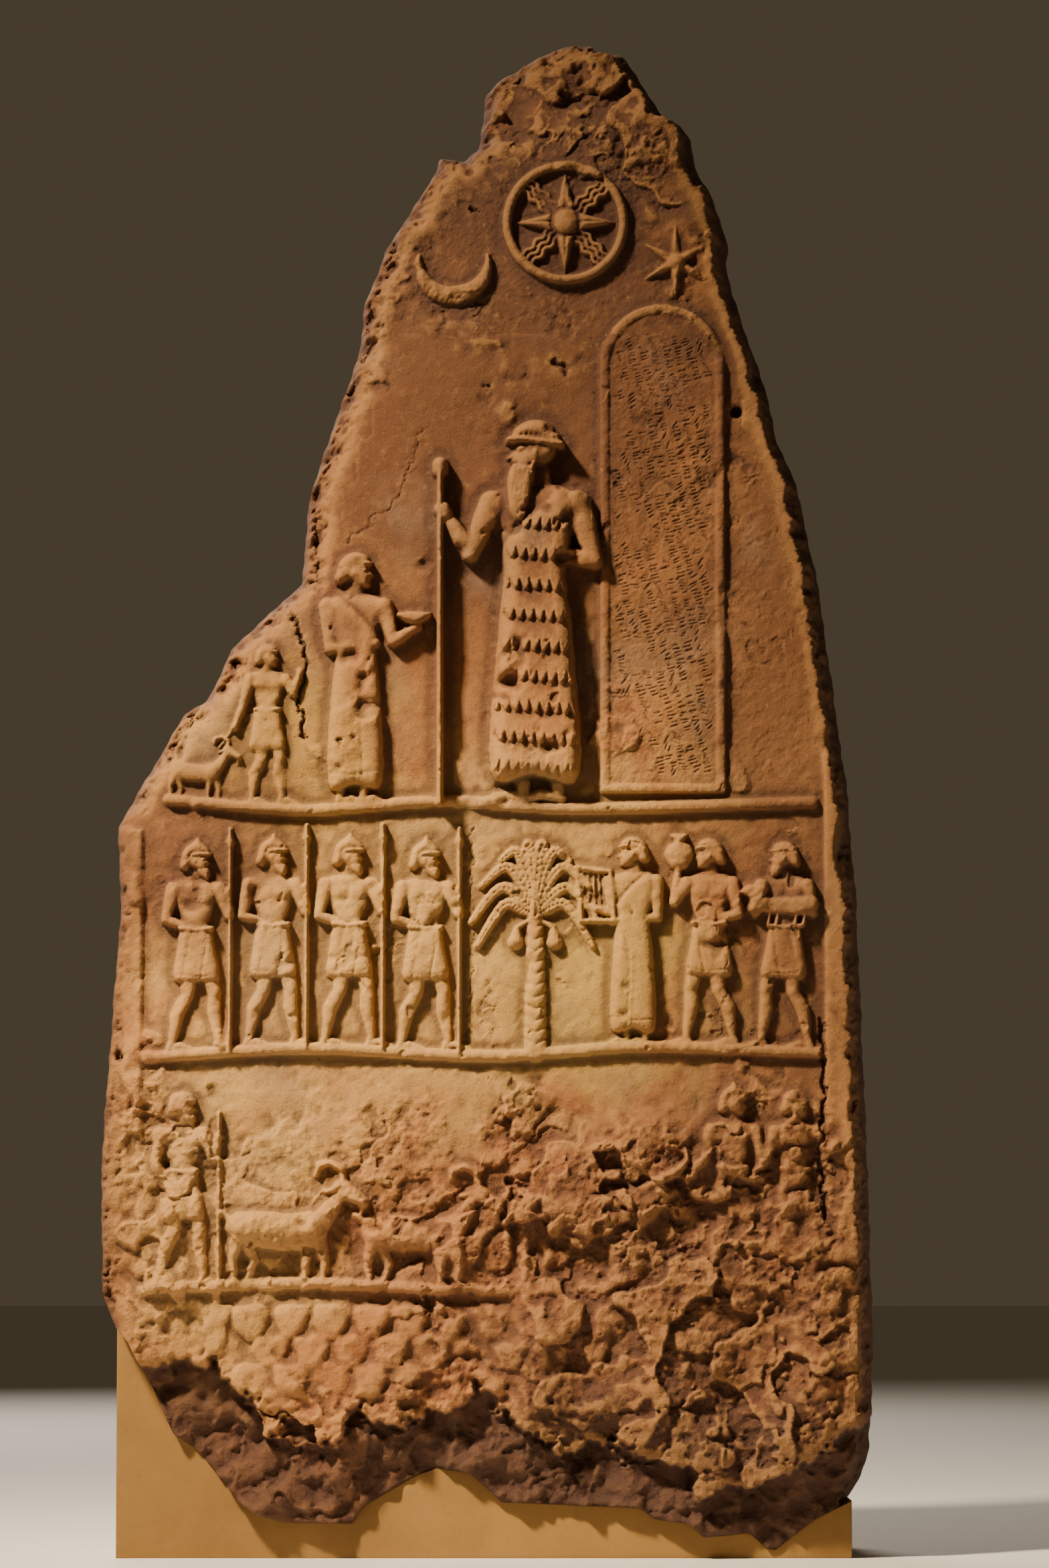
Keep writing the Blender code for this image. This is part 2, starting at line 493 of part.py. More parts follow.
def carved_blank(name):
    """A block a little larger than the stone, carved in front and gently domed behind."""
    outline = np.array([*LEFT_SIDE, *RIGHT_SIDE, *SEAT])
    low, high = outline.min(axis=0) - 1, outline.max(axis=0) + 1
    columns, rows = (np.ceil((high - low) * UNIT / GRID_STEP)).astype(int)
    shape = bmesh.new()
    bmesh.ops.create_grid(shape, x_segments=columns, y_segments=rows, size=0.5)
    front = list(shape.verts)
    places = np.array([vert.co[:2] for vert in front]) + 0.5
    x = (low[0] + places[:, 0] * (high[0] - low[0])).reshape(rows + 1, columns + 1)
    z = (low[1] + places[:, 1] * (high[1] - low[1])).reshape(rows + 1, columns + 1)
    face = (FACE_Y + face_recess(x, z) - carved_height(x, z)).ravel()
    back = (-FACE_Y - back_recess(x, z)).ravel()
    grown = bmesh.ops.extrude_face_region(shape, geom=shape.faces[:])
    behind = [part for part in grown["geom"] if isinstance(part, bmesh.types.BMVert)]
    spots = np.array([vert.co[:2] for vert in behind]) + 0.5
    order = np.rint(spots[:, 1] * rows).astype(int) * (columns + 1) + np.rint(spots[:, 0] * columns).astype(int)
    for vert, place_x, place_z, y in zip(front, x.ravel(), z.ravel(), face):
        vert.co = (place_x * UNIT, y, SUPPORT_UNDER + place_z * UNIT)
    for vert, index in zip(behind, order):
        vert.co = (x.flat[index] * UNIT, back[index], SUPPORT_UNDER + z.flat[index] * UNIT)
    bmesh.ops.recalc_face_normals(shape, faces=shape.faces)
    mesh = bpy.data.meshes.new(name)
    shape.to_mesh(mesh)
    shape.free()
    return bpy.data.objects.new(name, mesh)


def cut_with(target, cutter, operation):
    modifier = target.modifiers.new(cutter.name, "BOOLEAN")
    modifier.operation = operation
    modifier.solver = "EXACT"
    modifier.object = cutter


def hide_cutter(cutter, cutters):
    cutter.hide_render = True
    cutter.display_type = "WIRE"
    cutters.objects.link(cutter)


def hole_drill(cutters):
    (hole_x, hole_z), = to_metres([HOLE_PLACE])
    bpy.ops.mesh.primitive_cylinder_add(vertices=20, radius=HOLE_BORE / 2, depth=2 * HOLE_DEPTH,
                                        location=(hole_x, FACE_Y, hole_z), rotation=(math.radians(90), 0, 0))
    drill = bpy.context.object
    drill.name = "hole_drill"
    drill.users_collection[0].objects.unlink(drill)
    hide_cutter(drill, cutters)
    return drill


def build_stone(parts, cutters):
    outline = outline_prism("stone_outline", to_metres([*LEFT_SIDE, *RIGHT_SIDE, *SEAT[1:-1]]), -STONE_DEPTH,
                            STONE_DEPTH)
    hide_cutter(outline, cutters)
    drill = hole_drill(cutters)
    stone = carved_blank("stone")
    stone.data.materials.append(make_material("sandstone", (0.50, 0.29, 0.17), 0.85))
    lighten = stone.modifiers.new("lighten", "DECIMATE")
    lighten.ratio = STONE_TRIANGLES / (2 * len(stone.data.polygons))
    cut_with(stone, outline, "INTERSECT")
    cut_with(stone, drill, "DIFFERENCE")
    parts.objects.link(stone)


def moved_down(points, clearance):
    """The seat's line moved away from the stone by the clearance, measured square to each stretch."""
    points = np.array(points)
    along = np.diff(points, axis=0)
    square = np.column_stack([along[:, 1], -along[:, 0]]) / np.hypot(*along.T)[:, None]
    square[square[:, 1] > 0] *= -1
    before, after = np.vstack([square[:1], square]), np.vstack([square, square[-1:]])
    middle = before + after
    middle /= np.hypot(*middle.T)[:, None]
    return points + middle * (clearance / (middle * after).sum(axis=1))[:, None]


def build_support(parts):
    seat = to_metres(SEAT)
    right, left = seat[0][0] - SUPPORT_SIDE_INSET, seat[-1][0] + SUPPORT_SIDE_INSET
    top = [(x, z) for x, z in moved_down(seat, SEAT_CLEARANCE) if left < x < right]
    rising = sorted(seat)
    level = [np.interp(edge, *zip(*rising)) - 2 * SEAT_CLEARANCE for edge in (right, left)]
    outline = [(left, 0), (right, 0), (right, level[0]), *top, (left, level[1])]
    support = outline_prism("support_block", outline, FACE_Y + SUPPORT_SETBACK, -FACE_Y + SUPPORT_BACK_REACH)
    support.data.materials.append(make_material("cast_filler", (0.72, 0.52, 0.27), 0.8))
    parts.objects.link(support)


def build():
    for old in list(bpy.data.objects):
        bpy.data.objects.remove(old)
    parts = bpy.data.collections.new("stone_stele")
    cutters = bpy.data.collections.new("cutters")
    for made in (parts, cutters):
        bpy.context.scene.collection.children.link(made)
    build_support(parts)
    build_stone(parts, cutters)


build()
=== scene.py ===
import math

import bmesh
import bpy
import numpy as np
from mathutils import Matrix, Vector
from mathutils.geometry import delaunay_2d_cdt


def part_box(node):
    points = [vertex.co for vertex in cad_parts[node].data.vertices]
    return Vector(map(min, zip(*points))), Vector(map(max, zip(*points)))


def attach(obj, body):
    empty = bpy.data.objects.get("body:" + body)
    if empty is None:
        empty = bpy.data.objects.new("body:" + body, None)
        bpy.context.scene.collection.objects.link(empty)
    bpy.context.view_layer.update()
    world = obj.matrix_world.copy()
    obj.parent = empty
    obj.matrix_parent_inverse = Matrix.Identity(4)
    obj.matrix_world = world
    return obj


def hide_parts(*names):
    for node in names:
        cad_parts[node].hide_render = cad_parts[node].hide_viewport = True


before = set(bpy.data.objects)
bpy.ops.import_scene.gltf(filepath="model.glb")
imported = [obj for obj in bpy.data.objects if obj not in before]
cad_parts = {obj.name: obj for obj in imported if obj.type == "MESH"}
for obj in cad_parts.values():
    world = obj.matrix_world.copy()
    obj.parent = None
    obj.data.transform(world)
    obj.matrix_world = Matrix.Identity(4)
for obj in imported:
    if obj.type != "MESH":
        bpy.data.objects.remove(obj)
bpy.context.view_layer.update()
stoneLow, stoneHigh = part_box("stone")
blockLow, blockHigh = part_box("support_block")
unit = (stoneHigh[2] - stoneLow[2]) / 100  # places on the stone are hundredths of its height
footZ = stoneLow[2]

# The stone's edge, clockwise from its lower left, its seat in the block, and the break along its foot.
leftSide = [(-24.5, 14.6), (-25.3, 16.7), (-25.4, 25.4), (-24.2, 42.3), (-24.5, 47.2), (-22.6, 50.9),
            (-20.3, 54.9), (-18.7, 55.8), (-17.2, 59.2), (-12.5, 63.6), (-12.0, 69.5), (-8.6, 79.4),
            (-8.4, 82.3), (-6.8, 86.2), (-3.6, 91.3), (-3.4, 92.2), (-1.7, 92.0), (-0.8, 93.0), (-0.3, 97.0),
            (0.9, 98.3), (5.2, 100.0)]
rightSide = [(8.2, 99.9), (9.0, 99.7), (11.6, 95.5), (12.8, 94.9), (13.5, 93.9), (13.8, 91.7), (14.7, 90.3),
             (16.0, 86.7), (15.8, 85.1), (16.3, 83.1), (18.5, 76.6), (19.2, 73.3), (20.5, 70.3), (21.9, 63.6),
             (23.7, 50.3), (24.3, 43.3), (25.0, 24.9), (25.3, 13.2), (25.1, 6.3), (24.6, 4.6), (23.8, 3.3)]
seatLine = [(23.8, 3.3), (21.3, 2.0), (18.7, 0.0), (18.1, 0.1), (17.0, 1.1), (14.0, 0.8), (13.0, 1.7),
            (10.7, 2.0), (9.9, 2.7), (0.8, 3.1), (-1.3, 5.0), (-3.4, 5.3), (-4.8, 4.8), (-8.3, 2.8),
            (-8.9, 1.7), (-13.5, 1.8), (-15.2, 2.3), (-16.4, 3.2), (-19.1, 6.5), (-20.6, 7.5), (-23.5, 13.5),
            (-24.5, 14.6)]
breakLine = [(-26.5, 14.0), (-21.8, 12.0), (-19.6, 11.9), (-17.9, 12.9), (-17.0, 10.6), (-15.5, 9.3),
             (-12.5, 9.2), (-13.9, 6.9), (-10.6, 6.8), (-8.5, 9.2), (-5.2, 8.3), (-0.3, 10.3), (2.4, 7.6),
             (5.1, 6.5), (9.5, 6.7), (14.1, 4.0), (16.3, 3.8), (19.2, 5.0), (26.5, 9.3)]

raster = {
    "lowX": -27.0, "highX": 27.0, "lowZ": -1.0, "highZ": 101.0,
    "step": 0.0625,  # 1.25 mm
    "rootCells": 16,
}
step = raster["step"]
xs = raster["lowX"] + step * np.arange(round((raster["highX"] - raster["lowX"]) / step) + 1)
zs = raster["lowZ"] + step * np.arange(round((raster["highZ"] - raster["lowZ"]) / step) + 1)
gridX, gridZ = np.meshgrid(xs, zs)


def smoothStep(value):
    value = np.clip(value, 0, 1)
    return value * value * (3 - 2 * value)


def splineThrough(points, perSpan=6, closed=True):
    pts = np.array(points, float)
    count = len(pts)
    t = np.linspace(0, 1, perSpan, endpoint=False)[:, None]
    rows = []
    for k in range(count if closed else count - 1):
        if closed:
            p0, p1, p2, p3 = pts[k - 1], pts[k], pts[(k + 1) % count], pts[(k + 2) % count]
        else:
            p0, p1, p2, p3 = pts[max(k - 1, 0)], pts[k], pts[k + 1], pts[min(k + 2, count - 1)]
        rows.append(0.5 * (2 * p1 + (p2 - p0) * t + (2 * p0 - 5 * p1 + 4 * p2 - p3) * t ** 2
                           + (3 * p1 - p0 - 3 * p2 + p3) * t ** 3))
    return np.concatenate(rows if closed else [*rows, pts[-1:]])


def lineDistance(x, z, points, closed=False):
    # how far each place is from a line, and whether a closed line holds it
    points = np.array(points, float)
    starts, ends = (points, np.roll(points, -1, axis=0)) if closed else (points[:-1], points[1:])
    nearest = np.full(x.shape, 1e9)
    inside = np.zeros(x.shape, bool)
    for (ax, az), (bx, bz) in zip(starts, ends):
        dx, dz = bx - ax, bz - az
        length2 = dx * dx + dz * dz
        if length2 < 1e-14:
            continue
        t = np.clip(((x - ax) * dx + (z - az) * dz) / length2, 0, 1)
        nearest = np.minimum(nearest, (x - ax - t * dx) ** 2 + (z - az - t * dz) ** 2)
        if az != bz:
            inside ^= ((az > z) != (bz > z)) & (x < (bx - ax) * (z - az) / (bz - az) + ax)
    return np.sqrt(nearest), inside


def fractalNoise(seed, longest, shortest, fade=1.8):
    # waves of every length between the two over the whole face, with a deviation of 1
    white = np.random.default_rng(seed).standard_normal(gridX.shape)
    across = np.fft.rfftfreq(gridX.shape[1], step)
    along = np.fft.fftfreq(gridX.shape[0], step)
    pitch = np.hypot(along[:, None], across[None, :])
    gain = np.where((pitch > 1 / longest) & (pitch < 1 / shortest), np.maximum(pitch, 1e-6) ** -fade, 0)
    made = np.fft.irfft2(np.fft.rfft2(white) * gain, s=gridX.shape)
    return made / made.std()


def blurred(field, radius):
    across = np.fft.rfftfreq(field.shape[1], step)
    along = np.fft.fftfreq(field.shape[0], step)
    gain = np.exp(-2 * (math.pi * radius) ** 2 * (along[:, None] ** 2 + across[None, :] ** 2))
    return np.fft.irfft2(np.fft.rfft2(field) * gain, s=field.shape)


def lowest(field, cells):
    # the lowest value within so many cells each way
    for axis in (0, 1):
        kept = field
        for shift in range(1, cells + 1):
            kept = np.minimum(kept, np.minimum(np.roll(field, shift, axis), np.roll(field, -shift, axis)))
        field = kept
    return field


def chips(seed, size, angle=0.35, stretch=1.5, tilt=0.45, bend=0.30):
    # a surface of flat chips about so wide, each at its own level and tilt, with ledges between
    rng = np.random.default_rng(seed)
    bentX = gridX + bend * size * fractalNoise(seed + 500, 3 * size, 0.3 * size)
    bentZ = gridZ + bend * size * fractalNoise(seed + 700, 3 * size, 0.3 * size)
    c, s = math.cos(angle), math.sin(angle)
    x = (bentX * c + bentZ * s) / (size * stretch) + 60 / size
    z = (bentZ * c - bentX * s) / size + 60 / size
    count = int(190 / size)
    middleX, middleZ, level = rng.random((3, count, count))
    slopeX, slopeZ = rng.normal(0, tilt, (2, count, count))
    baseX, baseZ = np.floor(x).astype(int), np.floor(z).astype(int)
    nearest, made = np.full(gridX.shape, 9.0), np.zeros(gridX.shape)
    for shiftX in (-1, 0, 1):
        for shiftZ in (-1, 0, 1):
            column, row = (baseX + shiftX) % count, (baseZ + shiftZ) % count
            dx = x - baseX - shiftX - middleX[row, column]
            dz = z - baseZ - shiftZ - middleZ[row, column]
            distance = dx * dx + dz * dz
            chip = 2 * level[row, column] - 1 + slopeX[row, column] * dx + slopeZ[row, column] * dz
            made = np.where(distance < nearest, chip, made)
            nearest = np.minimum(nearest, distance)
    return made


def window(points, margin):
    # the part of the raster around some points
    points = np.atleast_2d(points)
    low, high = points.min(0) - margin, points.max(0) + margin
    j0, j1 = np.searchsorted(xs, [low[0], high[0]])
    i0, i1 = np.searchsorted(zs, [low[1], high[1]])
    where = (slice(i0, i1), slice(j0, j1))
    return where, gridX[where], gridZ[where]


class Canvas:  # heights that stand out of the face
    def __init__(self):
        self.height = np.zeros(gridX.shape)

    def limb(self, points, radii, lifts, base=0.0, power=2.3):
        points = np.array(points, float)
        radii = np.broadcast_to(np.array(radii, float), len(points))
        lifts = np.broadcast_to(np.array(lifts, float), len(points))
        where, x, z = window(points, radii.max())
        made = np.zeros(x.shape)
        for a, b, ra, rb, la, lb in zip(points, points[1:], radii, radii[1:], lifts, lifts[1:]):
            d = b - a
            t = np.clip(((x - a[0]) * d[0] + (z - a[1]) * d[1]) / max(d @ d, 1e-12), 0, 1)
            q = np.hypot(x - a[0] - t * d[0], z - a[1] - t * d[1]) / (ra + t * (rb - ra))
            crownShade = np.clip(1 - q ** power, 0, 1) ** (1 / power)
            made = np.maximum(made, np.where(q < 1, base + (la + t * (lb - la)) * crownShade, 0))
        self.height[where] = np.maximum(self.height[where], made)

    def plate(self, outline, lift, bevel, base=0.0, smooth=5):
        outline = splineThrough(outline, smooth) if smooth else np.array(outline, float)
        where, x, z = window(outline, 0)
        distance, inside = lineDistance(x, z, outline, closed=True)
        edge = 1 - np.clip(distance / bevel, 0, 1)
        made = np.where(inside, base + lift * np.sqrt(1 - edge ** 2), 0)
        self.height[where] = np.maximum(self.height[where], made)

    def groove(self, points, width, depth, smooth=4):
        curved = smooth and len(points) > 2
        points = splineThrough(points, smooth, False) if curved else np.array(points, float)
        width = max(width, step * 0.9)
        where, x, z = window(points, width)
        distance, _ = lineDistance(x, z, points)
        self.height[where] -= depth * np.clip(1 - (distance / width) ** 2, 0, 1)

    def swell(self, centre, radii, lift, angle=0.0):
        # a soft mound on what is there, or a hollow where the lift is negative
        where, x, z = window(np.array(centre, float), max(radii))
        c, s = math.cos(angle), math.sin(angle)
        u = ((x - centre[0]) * c + (z - centre[1]) * s) / radii[0]
        v = (-(x - centre[0]) * s + (z - centre[1]) * c) / radii[1]
        self.height[where] += lift * np.clip(1 - u * u - v * v, 0, 1) ** 1.5


class Carver:  # carves one figure in shares of its own height, turned round where it faces left
    def __init__(self, canvas, x, ground, size, facing=1):
        self.canvas, self.x, self.size, self.facing = canvas, x, size, facing
        self.z = np.interp(x, *zip(*ground)) + rows["standAbove"]

    def place(self, points):
        pts = np.atleast_2d(np.array(points, float))
        across = self.x + self.facing * self.size * pts[:, 0]
        return np.column_stack([across, self.z + self.size * pts[:, 1]])

    def limb(self, points, radii, lifts, base=0.0, power=2.3):
        k = self.size
        self.canvas.limb(self.place(points), np.array(radii) * k, np.array(lifts) * k, base * k, power)

    def plate(self, outline, lift, bevel, base=0.0, smooth=5):
        k = self.size
        self.canvas.plate(self.place(outline), lift * k, bevel * k, base * k, smooth)

    def groove(self, points, width, depth, smooth=4):
        self.canvas.groove(self.place(points), width * self.size, depth * self.size, smooth)

    def swell(self, centre, radii, lift, angle=0.0):
        k = self.size
        radii = (radii[0] * k, radii[1] * k)
        self.canvas.swell(self.place([centre])[0], radii, lift * k, angle * self.facing)


def head(c, u, v, cover="cap", beard="none", tall=0.135):
    def at(points):
        return [(u + a * tall, v + b * tall) for a, b in points]
    c.limb(at([(-0.08, -0.12), (-0.02, 0.35)]), 0.31 * tall, 0.034)  # neck
    c.plate(at([(0.02, 1.02), (0.27, 0.93), (0.40, 0.76), (0.425, 0.62), (0.39, 0.55), (0.475, 0.43),
                (0.515, 0.375), (0.47, 0.335), (0.43, 0.32), (0.45, 0.275), (0.42, 0.25), (0.435, 0.21),
                (0.40, 0.17), (0.42, 0.10), (0.38, 0.03), (0.24, 0.0), (0.06, 0.06), (-0.10, 0.16),
                (-0.26, 0.22), (-0.42, 0.38), (-0.48, 0.60), (-0.40, 0.86), (-0.20, 1.0)]),
            0.044, 0.25 * tall, 0.012)
    c.swell(at([(0.10, 0.30)])[0], (0.30 * tall, 0.30 * tall), 0.006)  # cheek
    c.groove(at([(0.16, 0.585), (0.26, 0.62), (0.36, 0.60)]), 0.06 * tall, 0.006)  # brow
    c.swell(at([(0.25, 0.53)])[0], (0.11 * tall, 0.065 * tall), 0.009)  # eye
    c.groove(at([(0.14, 0.53), (0.25, 0.47), (0.36, 0.52)]), 0.035 * tall, 0.006)
    c.groove(at([(0.44, 0.262), (0.32, 0.262)]), 0.03 * tall, 0.006, 0)  # mouth
    c.groove(at([(0.46, 0.36), (0.38, 0.37), (0.36, 0.42)]), 0.03 * tall, 0.005)
    c.swell(at([(-0.06, 0.47)])[0], (0.09 * tall, 0.15 * tall), 0.012)  # ear
    c.groove(at([(-0.02, 0.56), (-0.10, 0.52), (-0.08, 0.40)]), 0.03 * tall, 0.006)
    if cover == "cap":  # close cap with a rolled brim
        c.plate(at([(0.44, 0.72), (0.36, 0.95), (0.08, 1.12), (-0.24, 1.10), (-0.48, 0.88), (-0.54, 0.64),
                    (-0.20, 0.68), (0.15, 0.72)]), 0.050, 0.22 * tall, 0.014)
        c.limb(at([(0.45, 0.72), (0.15, 0.71), (-0.20, 0.67), (-0.54, 0.62)]), 0.085 * tall, 0.054, 0.016)
        for k in range(9):
            a = 0.36 - 0.10 * k
            fold = [(a, 0.77 - 0.02 * k), (a * 0.8 - 0.04, 0.92), (a * 0.5 - 0.05, 1.05)]
            c.groove(at(fold), 0.02 * tall, 0.003)
    elif cover == "helmet":  # pointed, with a flap down the nape
        c.plate(at([(0.45, 0.70), (0.40, 0.92), (0.16, 1.16), (0.0, 1.32), (-0.14, 1.18), (-0.44, 0.95),
                    (-0.58, 0.62), (-0.62, 0.22), (-0.40, 0.10), (-0.22, 0.30), (-0.16, 0.66), (0.15, 0.72)]),
                0.050, 0.24 * tall, 0.014)
        c.groove(at([(-0.16, 0.66), (-0.40, 0.64), (-0.60, 0.58)]), 0.035 * tall, 0.005)
        c.limb(at([(0.45, 0.71), (0.15, 0.72), (-0.16, 0.67)]), 0.06 * tall, 0.055, 0.012)
    elif cover == "hair":  # combed hair, bound with a band and gathered at the nape
        c.plate(at([(0.40, 0.74), (0.30, 0.98), (0.02, 1.09), (-0.28, 1.04), (-0.50, 0.84), (-0.60, 0.55),
                    (-0.66, 0.30), (-0.56, 0.14), (-0.36, 0.16), (-0.22, 0.28), (-0.14, 0.50), (0.05, 0.70),
                    (0.22, 0.76)]), 0.047, 0.2 * tall, 0.014)
        for k in range(7):
            a = 0.24 - 0.12 * k
            c.groove(at([(a, 0.80 + 0.02 * k), (a - 0.10, 0.95), (a - 0.20, 1.02)]), 0.025 * tall, 0.004)
        c.limb(at([(0.41, 0.74), (-0.10, 0.80), (-0.52, 0.62)]), 0.05 * tall, 0.052, 0.014)
    if beard == "short":
        c.plate(at([(0.42, 0.22), (0.48, 0.02), (0.42, -0.20), (0.22, -0.18), (0.02, 0.04), (-0.06, 0.30),
                    (0.10, 0.24), (0.28, 0.24)]), 0.050, 0.14 * tall, 0.014)
        for k in range(4):
            lock = [(0.06 + 0.09 * k, 0.20 - 0.01 * k), (0.12 + 0.09 * k, -0.12)]
            c.groove(at(lock), 0.025 * tall, 0.005, 0)
    elif beard == "long":
        c.plate(at([(0.42, 0.22), (0.52, -0.10), (0.50, -0.70), (0.34, -0.92), (0.14, -0.85), (0.04, -0.45),
                    (-0.04, 0.02), (-0.06, 0.32), (0.10, 0.24), (0.28, 0.24)]), 0.052, 0.13 * tall, 0.024)
        for k in range(5):  # wavy locks
            lock = [(0.05 + 0.085 * k + 0.018 * math.sin(1.6 * j), 0.18 - 0.125 * j) for j in range(9)]
            c.groove(at(lock), 0.024 * tall, 0.006)


def torso(c, bare):
    c.plate([(-0.125, 0.795), (-0.100, 0.828), (-0.035, 0.845), (0.035, 0.845), (0.100, 0.828),
             (0.125, 0.795), (0.102, 0.72), (0.072, 0.64), (0.066, 0.60), (0.078, 0.52), (0, 0.50),
             (-0.078, 0.52), (-0.066, 0.60), (-0.072, 0.64), (-0.102, 0.72)], 0.042, 0.055, 0.008)
    if not bare:
        return
    for side in (-1, 1):
        c.swell((side * 0.045, 0.752), (0.052, 0.040), 0.009)
    c.groove([(-0.075, 0.725), (-0.045, 0.712), (0.0, 0.722), (0.045, 0.712), (0.075, 0.725)], 0.008, 0.004)
    c.groove([(0.0, 0.79), (0.0, 0.735)], 0.008, 0.003, 0)
    c.groove([(-0.07, 0.815), (0.0, 0.828), (0.07, 0.815)], 0.007, 0.003)
    c.swell((0.0, 0.645), (0.045, 0.055), 0.005)


def leg(c, hip, knee, ankle, base=0.0):
    mid = ((knee[0] + ankle) / 2 - 0.012, knee[1] * 0.62 + 0.02)
    c.limb([hip, ((hip[0] + knee[0]) / 2 + 0.006, (hip[1] + knee[1]) / 2), knee], [0.052, 0.050, 0.035],
           [0.042, 0.042, 0.038], base)
    c.limb([knee, mid, (ankle, 0.055)], [0.033, 0.037, 0.020], [0.038, 0.038, 0.030], base)
    c.swell((knee[0] + 0.006, knee[1] + 0.004), (0.026, 0.030), 0.007)
    c.limb([(ankle, 0.055), (ankle - 0.018, 0.016)], [0.020, 0.018], 0.028, base)
    c.limb([(ankle - 0.018, 0.016), (ankle + 0.03, 0.030), (ankle + 0.095, 0.014), (ankle + 0.118, 0.004)],
           [0.016, 0.020, 0.014, 0.010], [0.026, 0.030, 0.024, 0.018], base)


def arm(c, shoulder, elbow, hand, base=0.020):
    c.limb([shoulder, ((shoulder[0] * 2 + elbow[0]) / 3, (shoulder[1] * 2 + elbow[1]) / 3), elbow],
           [0.037, 0.035, 0.025], [0.038, 0.038, 0.032], base)
    near = ((elbow[0] * 2 + hand[0]) / 3, (elbow[1] * 2 + hand[1]) / 3)
    c.limb([elbow, near, hand], [0.024, 0.026, 0.017], [0.034, 0.034, 0.028], base)
    way = np.array(hand) - np.array(elbow)
    way = way / np.hypot(*way) * 0.018
    c.limb([hand, (hand[0] + way[0], hand[1] + way[1])], [0.020, 0.022], 0.032, base + 0.004)
    for k in (-1, 0, 1):
        start = (hand[0] + way[0] * 0.9 - way[1] * 0.5 * k, hand[1] + way[1] * 0.9 + way[0] * 0.5 * k)
        c.groove([start, (start[0] + way[0] * 0.8, start[1] + way[1] * 0.8)], 0.003, 0.003, 0)


def kilt(c):
    c.plate([(-0.072, 0.605), (0, 0.612), (0.072, 0.605), (0.094, 0.50), (0.115, 0.355), (0.03, 0.337),
             (-0.104, 0.343), (-0.094, 0.50)], 0.048, 0.04, 0.012, 4)
    c.limb([(-0.074, 0.598), (0, 0.590), (0.074, 0.598)], 0.014, 0.052, 0.016)
    c.groove([(0.055, 0.59), (0.048, 0.48), (0.022, 0.345)], 0.006, 0.007)
    c.groove([(-0.02, 0.58), (-0.045, 0.46), (-0.06, 0.365)], 0.006, 0.004)
    c.groove([(-0.099, 0.373), (0.03, 0.367), (0.112, 0.383)], 0.005, 0.005)
    for k in range(13):
        u = -0.092 + k * 0.0161
        c.groove([(u, 0.367), (u * 1.02, 0.343)], 0.004, 0.005, 0)


def robe(c):
    c.plate([(-0.118, 0.80), (-0.07, 0.83), (0.0, 0.80), (0.085, 0.70), (0.085, 0.60), (0.098, 0.45),
             (0.108, 0.09), (0.0, 0.075), (-0.108, 0.082), (-0.098, 0.45), (-0.082, 0.60), (-0.10, 0.70)],
            0.050, 0.05, 0.014)
    c.groove([(-0.06, 0.83), (0.02, 0.76), (0.085, 0.68)], 0.008, 0.007)
    c.groove([(0.075, 0.62), (0.02, 0.45), (0.03, 0.10)], 0.007, 0.007)
    c.groove([(0.055, 0.58), (-0.005, 0.45), (0.005, 0.10)], 0.006, 0.004)
    c.groove([(-0.10, 0.125), (0.0, 0.118), (0.10, 0.135)], 0.006, 0.006)
    for k in range(16):
        c.groove([(-0.098 + 0.013 * k, 0.118), (-0.098 + 0.013 * k, 0.086)], 0.004, 0.005, 0)


def flouncedRobe(c, tiers=9, topV=0.80, lowV=0.075, lock=0.026):
    # hanging locks in rows, each row over the one below
    outline = [(-0.108, 0.79), (-0.06, 0.83), (0.0, 0.79), (0.08, 0.70), (0.085, 0.60), (0.10, 0.45),
               (0.118, 0.085), (0.0, 0.07), (-0.118, 0.08), (-0.10, 0.45), (-0.085, 0.60), (-0.10, 0.70)]
    c.plate(outline, 0.052, 0.045, 0.012)
    shape = splineThrough(c.place(outline), 5)
    where, x, z = window(shape, 0)
    distance, inside = lineDistance(x, z, shape, closed=True)
    u, v = (x - c.x) / (c.facing * c.size), (z - c.z) / c.size
    row = (topV - v) / (topV - lowV) * tiers + 0.10 * np.sin(u * 9)
    t = row - np.floor(row)
    across = u / lock + 0.5 * np.floor(row) % 1.0
    across = across + 0.25 * np.sin(3.1 * np.floor(row)) + 0.12 * np.sin(v * 60)
    s = np.abs(across - np.round(across)) * 2
    drop = 0.34 * s ** 2
    locks = 0.014 * np.clip(t + drop, 0, 1) * (t + drop < 1) - 0.006 * np.clip(s - 0.72, 0, 1) / 0.28
    mask = inside & (distance > 0.012 * c.size) & (row > 0) & (row < tiers)
    c.canvas.height[where] += np.where(mask, locks * c.size, 0)


def person(canvas, x, ground, size, facing=1, dress="kilt", cover="cap", beard="none",
           front=None, rear=None, stride=0.12):
    # head and legs from the side, chest from the front
    c = Carver(canvas, x, ground, size, facing)
    if dress == "kilt":
        leg(c, (0.028, 0.50), (0.03 + stride * 0.50, 0.285), stride * 0.93)
        leg(c, (-0.028, 0.50), (-0.02 - stride * 0.20, 0.275), -stride * 0.92, 0.004)
    else:
        for shift in (-0.055, 0.035):
            c.limb([(shift, 0.09), (shift - 0.005, 0.03)], [0.03, 0.018], 0.03)
            c.limb([(shift - 0.015, 0.015), (shift + 0.04, 0.026), (shift + 0.10, 0.006)],
                   [0.014, 0.017, 0.009], [0.026, 0.030, 0.020])
    torso(c, dress == "kilt")
    {"kilt": kilt, "robe": robe, "flounced": flouncedRobe}[dress](c)
    head(c, 0.005, 0.862, cover, beard)
    if rear:
        arm(c, (-0.112, 0.79), *rear)
    if front:
        arm(c, (0.112, 0.79), *front)
    return c


